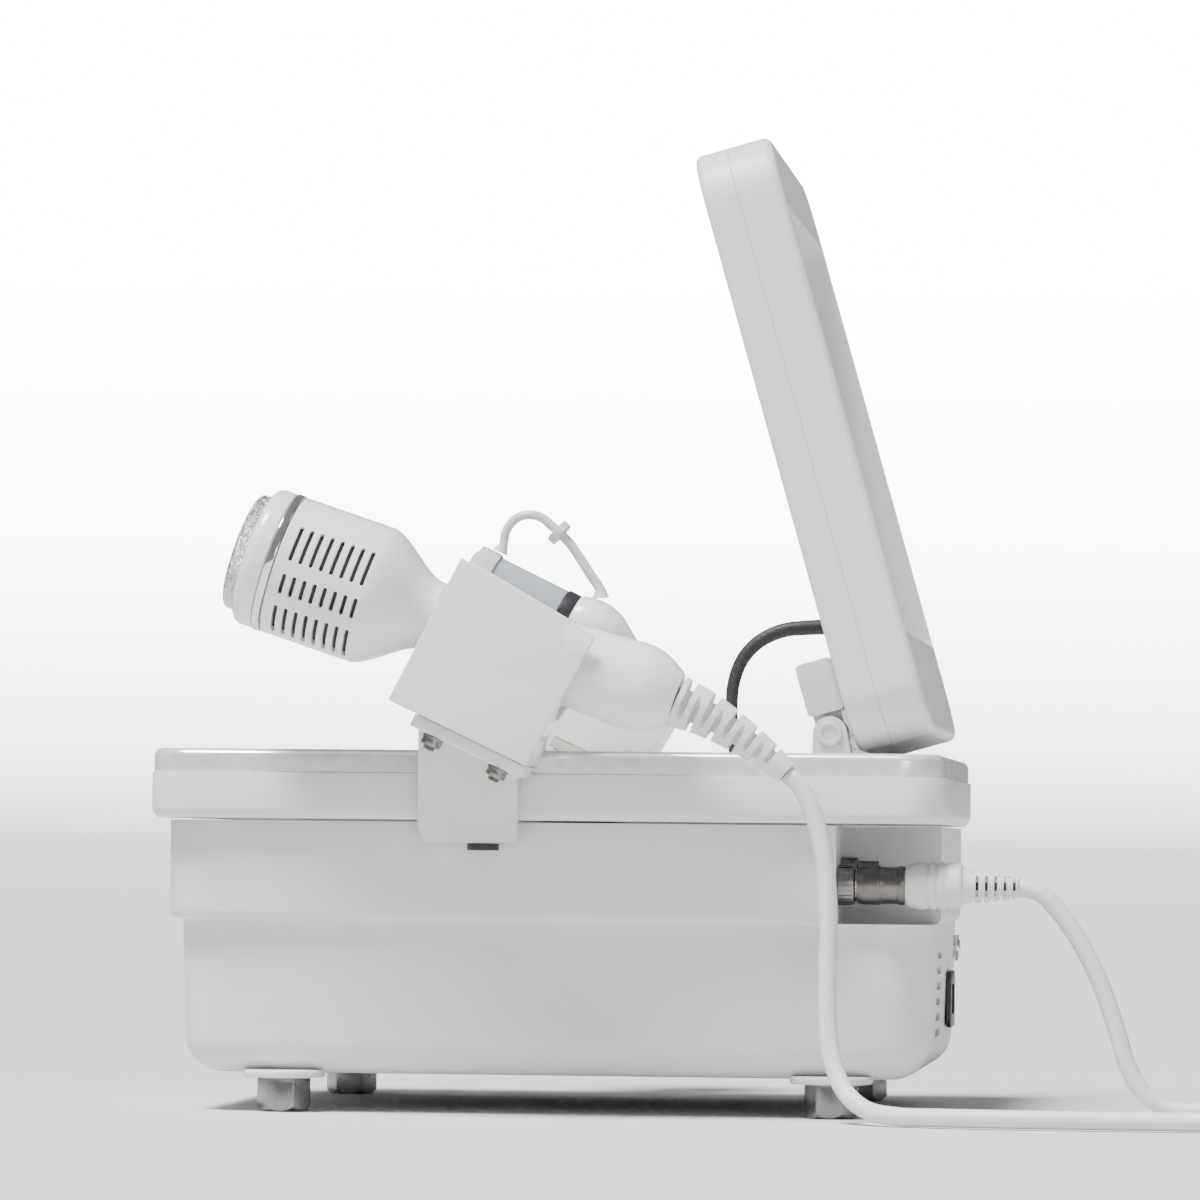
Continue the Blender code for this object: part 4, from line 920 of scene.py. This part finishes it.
# --- Lead of handpiece A --------------------------------------------------------------------
LEAD_ROUTE = [(109.9, HOLD_A_Y, 151.9), (114.2, HOLD_A_Y, 147.8), (118.2, HOLD_A_Y, 142.0),
              (122.0, HOLD_A_Y, 133.0), (125.2, HOLD_A_Y, 121.6), (127.6, HOLD_A_Y, 107.0),
              (128.6, HOLD_A_Y, 88.0), (128.4, HOLD_A_Y, 66.0), (128.6, -165.0, 46.0),
              (130.8, -168.2, 28.5), (136.6, -175.2, 14.6), (147.0, -185.6, 6.6), (161.0, -196.4, 4.4),
              (178.0, -204.4, 4.4), (200.0, -209.6, 4.4), (228.0, -212.4, 4.4), (258.0, -213.4, 4.4),
              (290.0, -213.5, 4.4), (332.0, -213.5, 4.4)]
TAIL_ROUTE = [(332.0, -116.5, 12.7), (318.0, -116.5, 11.9), (302.0, -116.6, 7.6), (288.0, -116.8, 5.0),
              (275.0, -117.0, 6.4), (264.6, -117.0, 13.6), (258.0, -117.0, 25.0), (253.6, -117.0, 39.0),
              (248.6, -117.0, 54.0), (242.2, -117.0, 69.0), (234.6, -117.0, 82.6), (226.6, -117.0, 93.2),
              (219.0, -117.0, 100.6), (208.6, -117.0, 103.3)]
COIL_TURNS = ((COIL_OUTER_TURN, 4.4), (COIL_INNER_TURN, 4.4), (COIL_INNER_TURN, 12.7),
              (COIL_OUTER_TURN, 12.7), (COIL_OUTER_TURN, 12.7))


def coil_points():
    """Four and a half turns, counterclockwise from above, from its front round to its back."""
    points, step = [], 15.0
    total = 360.0 * 4 + 180.0
    count = int(total / step)
    for i in range(1, count):
        turned_by = step * i
        index = min(int(turned_by // 360.0), 4)
        radius, height = COIL_TURNS[index]
        next_radius, next_height = COIL_TURNS[min(index + 1, 4)]
        share = max(0.0, (turned_by - 360.0 * index - 300.0) / 60.0)
        blend = share * share * (3 - 2 * share)
        angle = math.radians(-90.0 + turned_by)
        r = radius + (next_radius - radius) * blend
        points.append((COIL_CENTRE[0] + r * math.cos(angle), COIL_CENTRE[1] + r * math.sin(angle),
                       height + (next_height - height) * blend))
    return points


def make_lead(end_pieces):
    start = [(COIL_CENTRE[0], COIL_CENTRE[1] - COIL_OUTER_TURN, 4.4)]
    finish = [(COIL_CENTRE[0], COIL_CENTRE[1] + COIL_OUTER_TURN, 12.7)]
    path = smooth_path(LEAD_ROUTE + start + coil_points() + finish + TAIL_ROUTE, 3.0)
    lead = swept("lead", path, lambda *_: CABLE_D / 2, 20)
    lead.data.shade_smooth()
    lead.data.materials.append(LOOKS["cord"])
    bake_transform(lead)
    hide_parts("lead_a_front", "lead_a_coil", "lead_a_rear")


# --- Pieces that stay as the frame has them -------------------------------------------------
KEPT = (("deck_panel", "deck", "white_case"), ("fan_frame", "black", "black_plastic"),
        ("fan_rotor", "black", "black_plastic"), ("power_supply", "sheet", "inner_metal"),
        ("generator_board", "board", "board_green"), ("heat_sink", "sheet", "inner_metal"),
        ("display_panel", "panel", "panel_grey"), ("transducer_a", "sheet", "inner_metal"))


def dress_kept():
    for name, look, slot_name in KEPT:
        node = frame["nodes"][name]
        node.data.materials.clear()
        node.data.materials.append(LOOKS[look])
        modifier = node.modifiers.new("edge", "BEVEL")
        modifier.width, modifier.segments, modifier.limit_method = 0.4 * MM, 2, "ANGLE"
        modifier.angle_limit = math.radians(40)


make_camera()
make_lead(make_connectors())
make_case()
make_rim()
make_feet()
make_rear()
lid_frame = place(PIN[0], 0, PIN[2], -LID_LEAN)
make_hinges(lid_frame)
make_lid(lid_frame)
make_display_cable()
holder_a = make_holder("a", CRADLE_A, HOLD_A_Y, 63.7, 69.7, 23.5)
holder_b = make_holder("b", CRADLE_B, HOLD_B_Y, 44.0, 50.0, 36.9)
make_clamp("a", CRADLE_A, HOLD_A_Y, holder_a)
make_clamp("b", CRADLE_B, HOLD_B_Y, holder_b)
make_handpiece_a()
make_handpiece_b()
dress_kept()
make_studio()
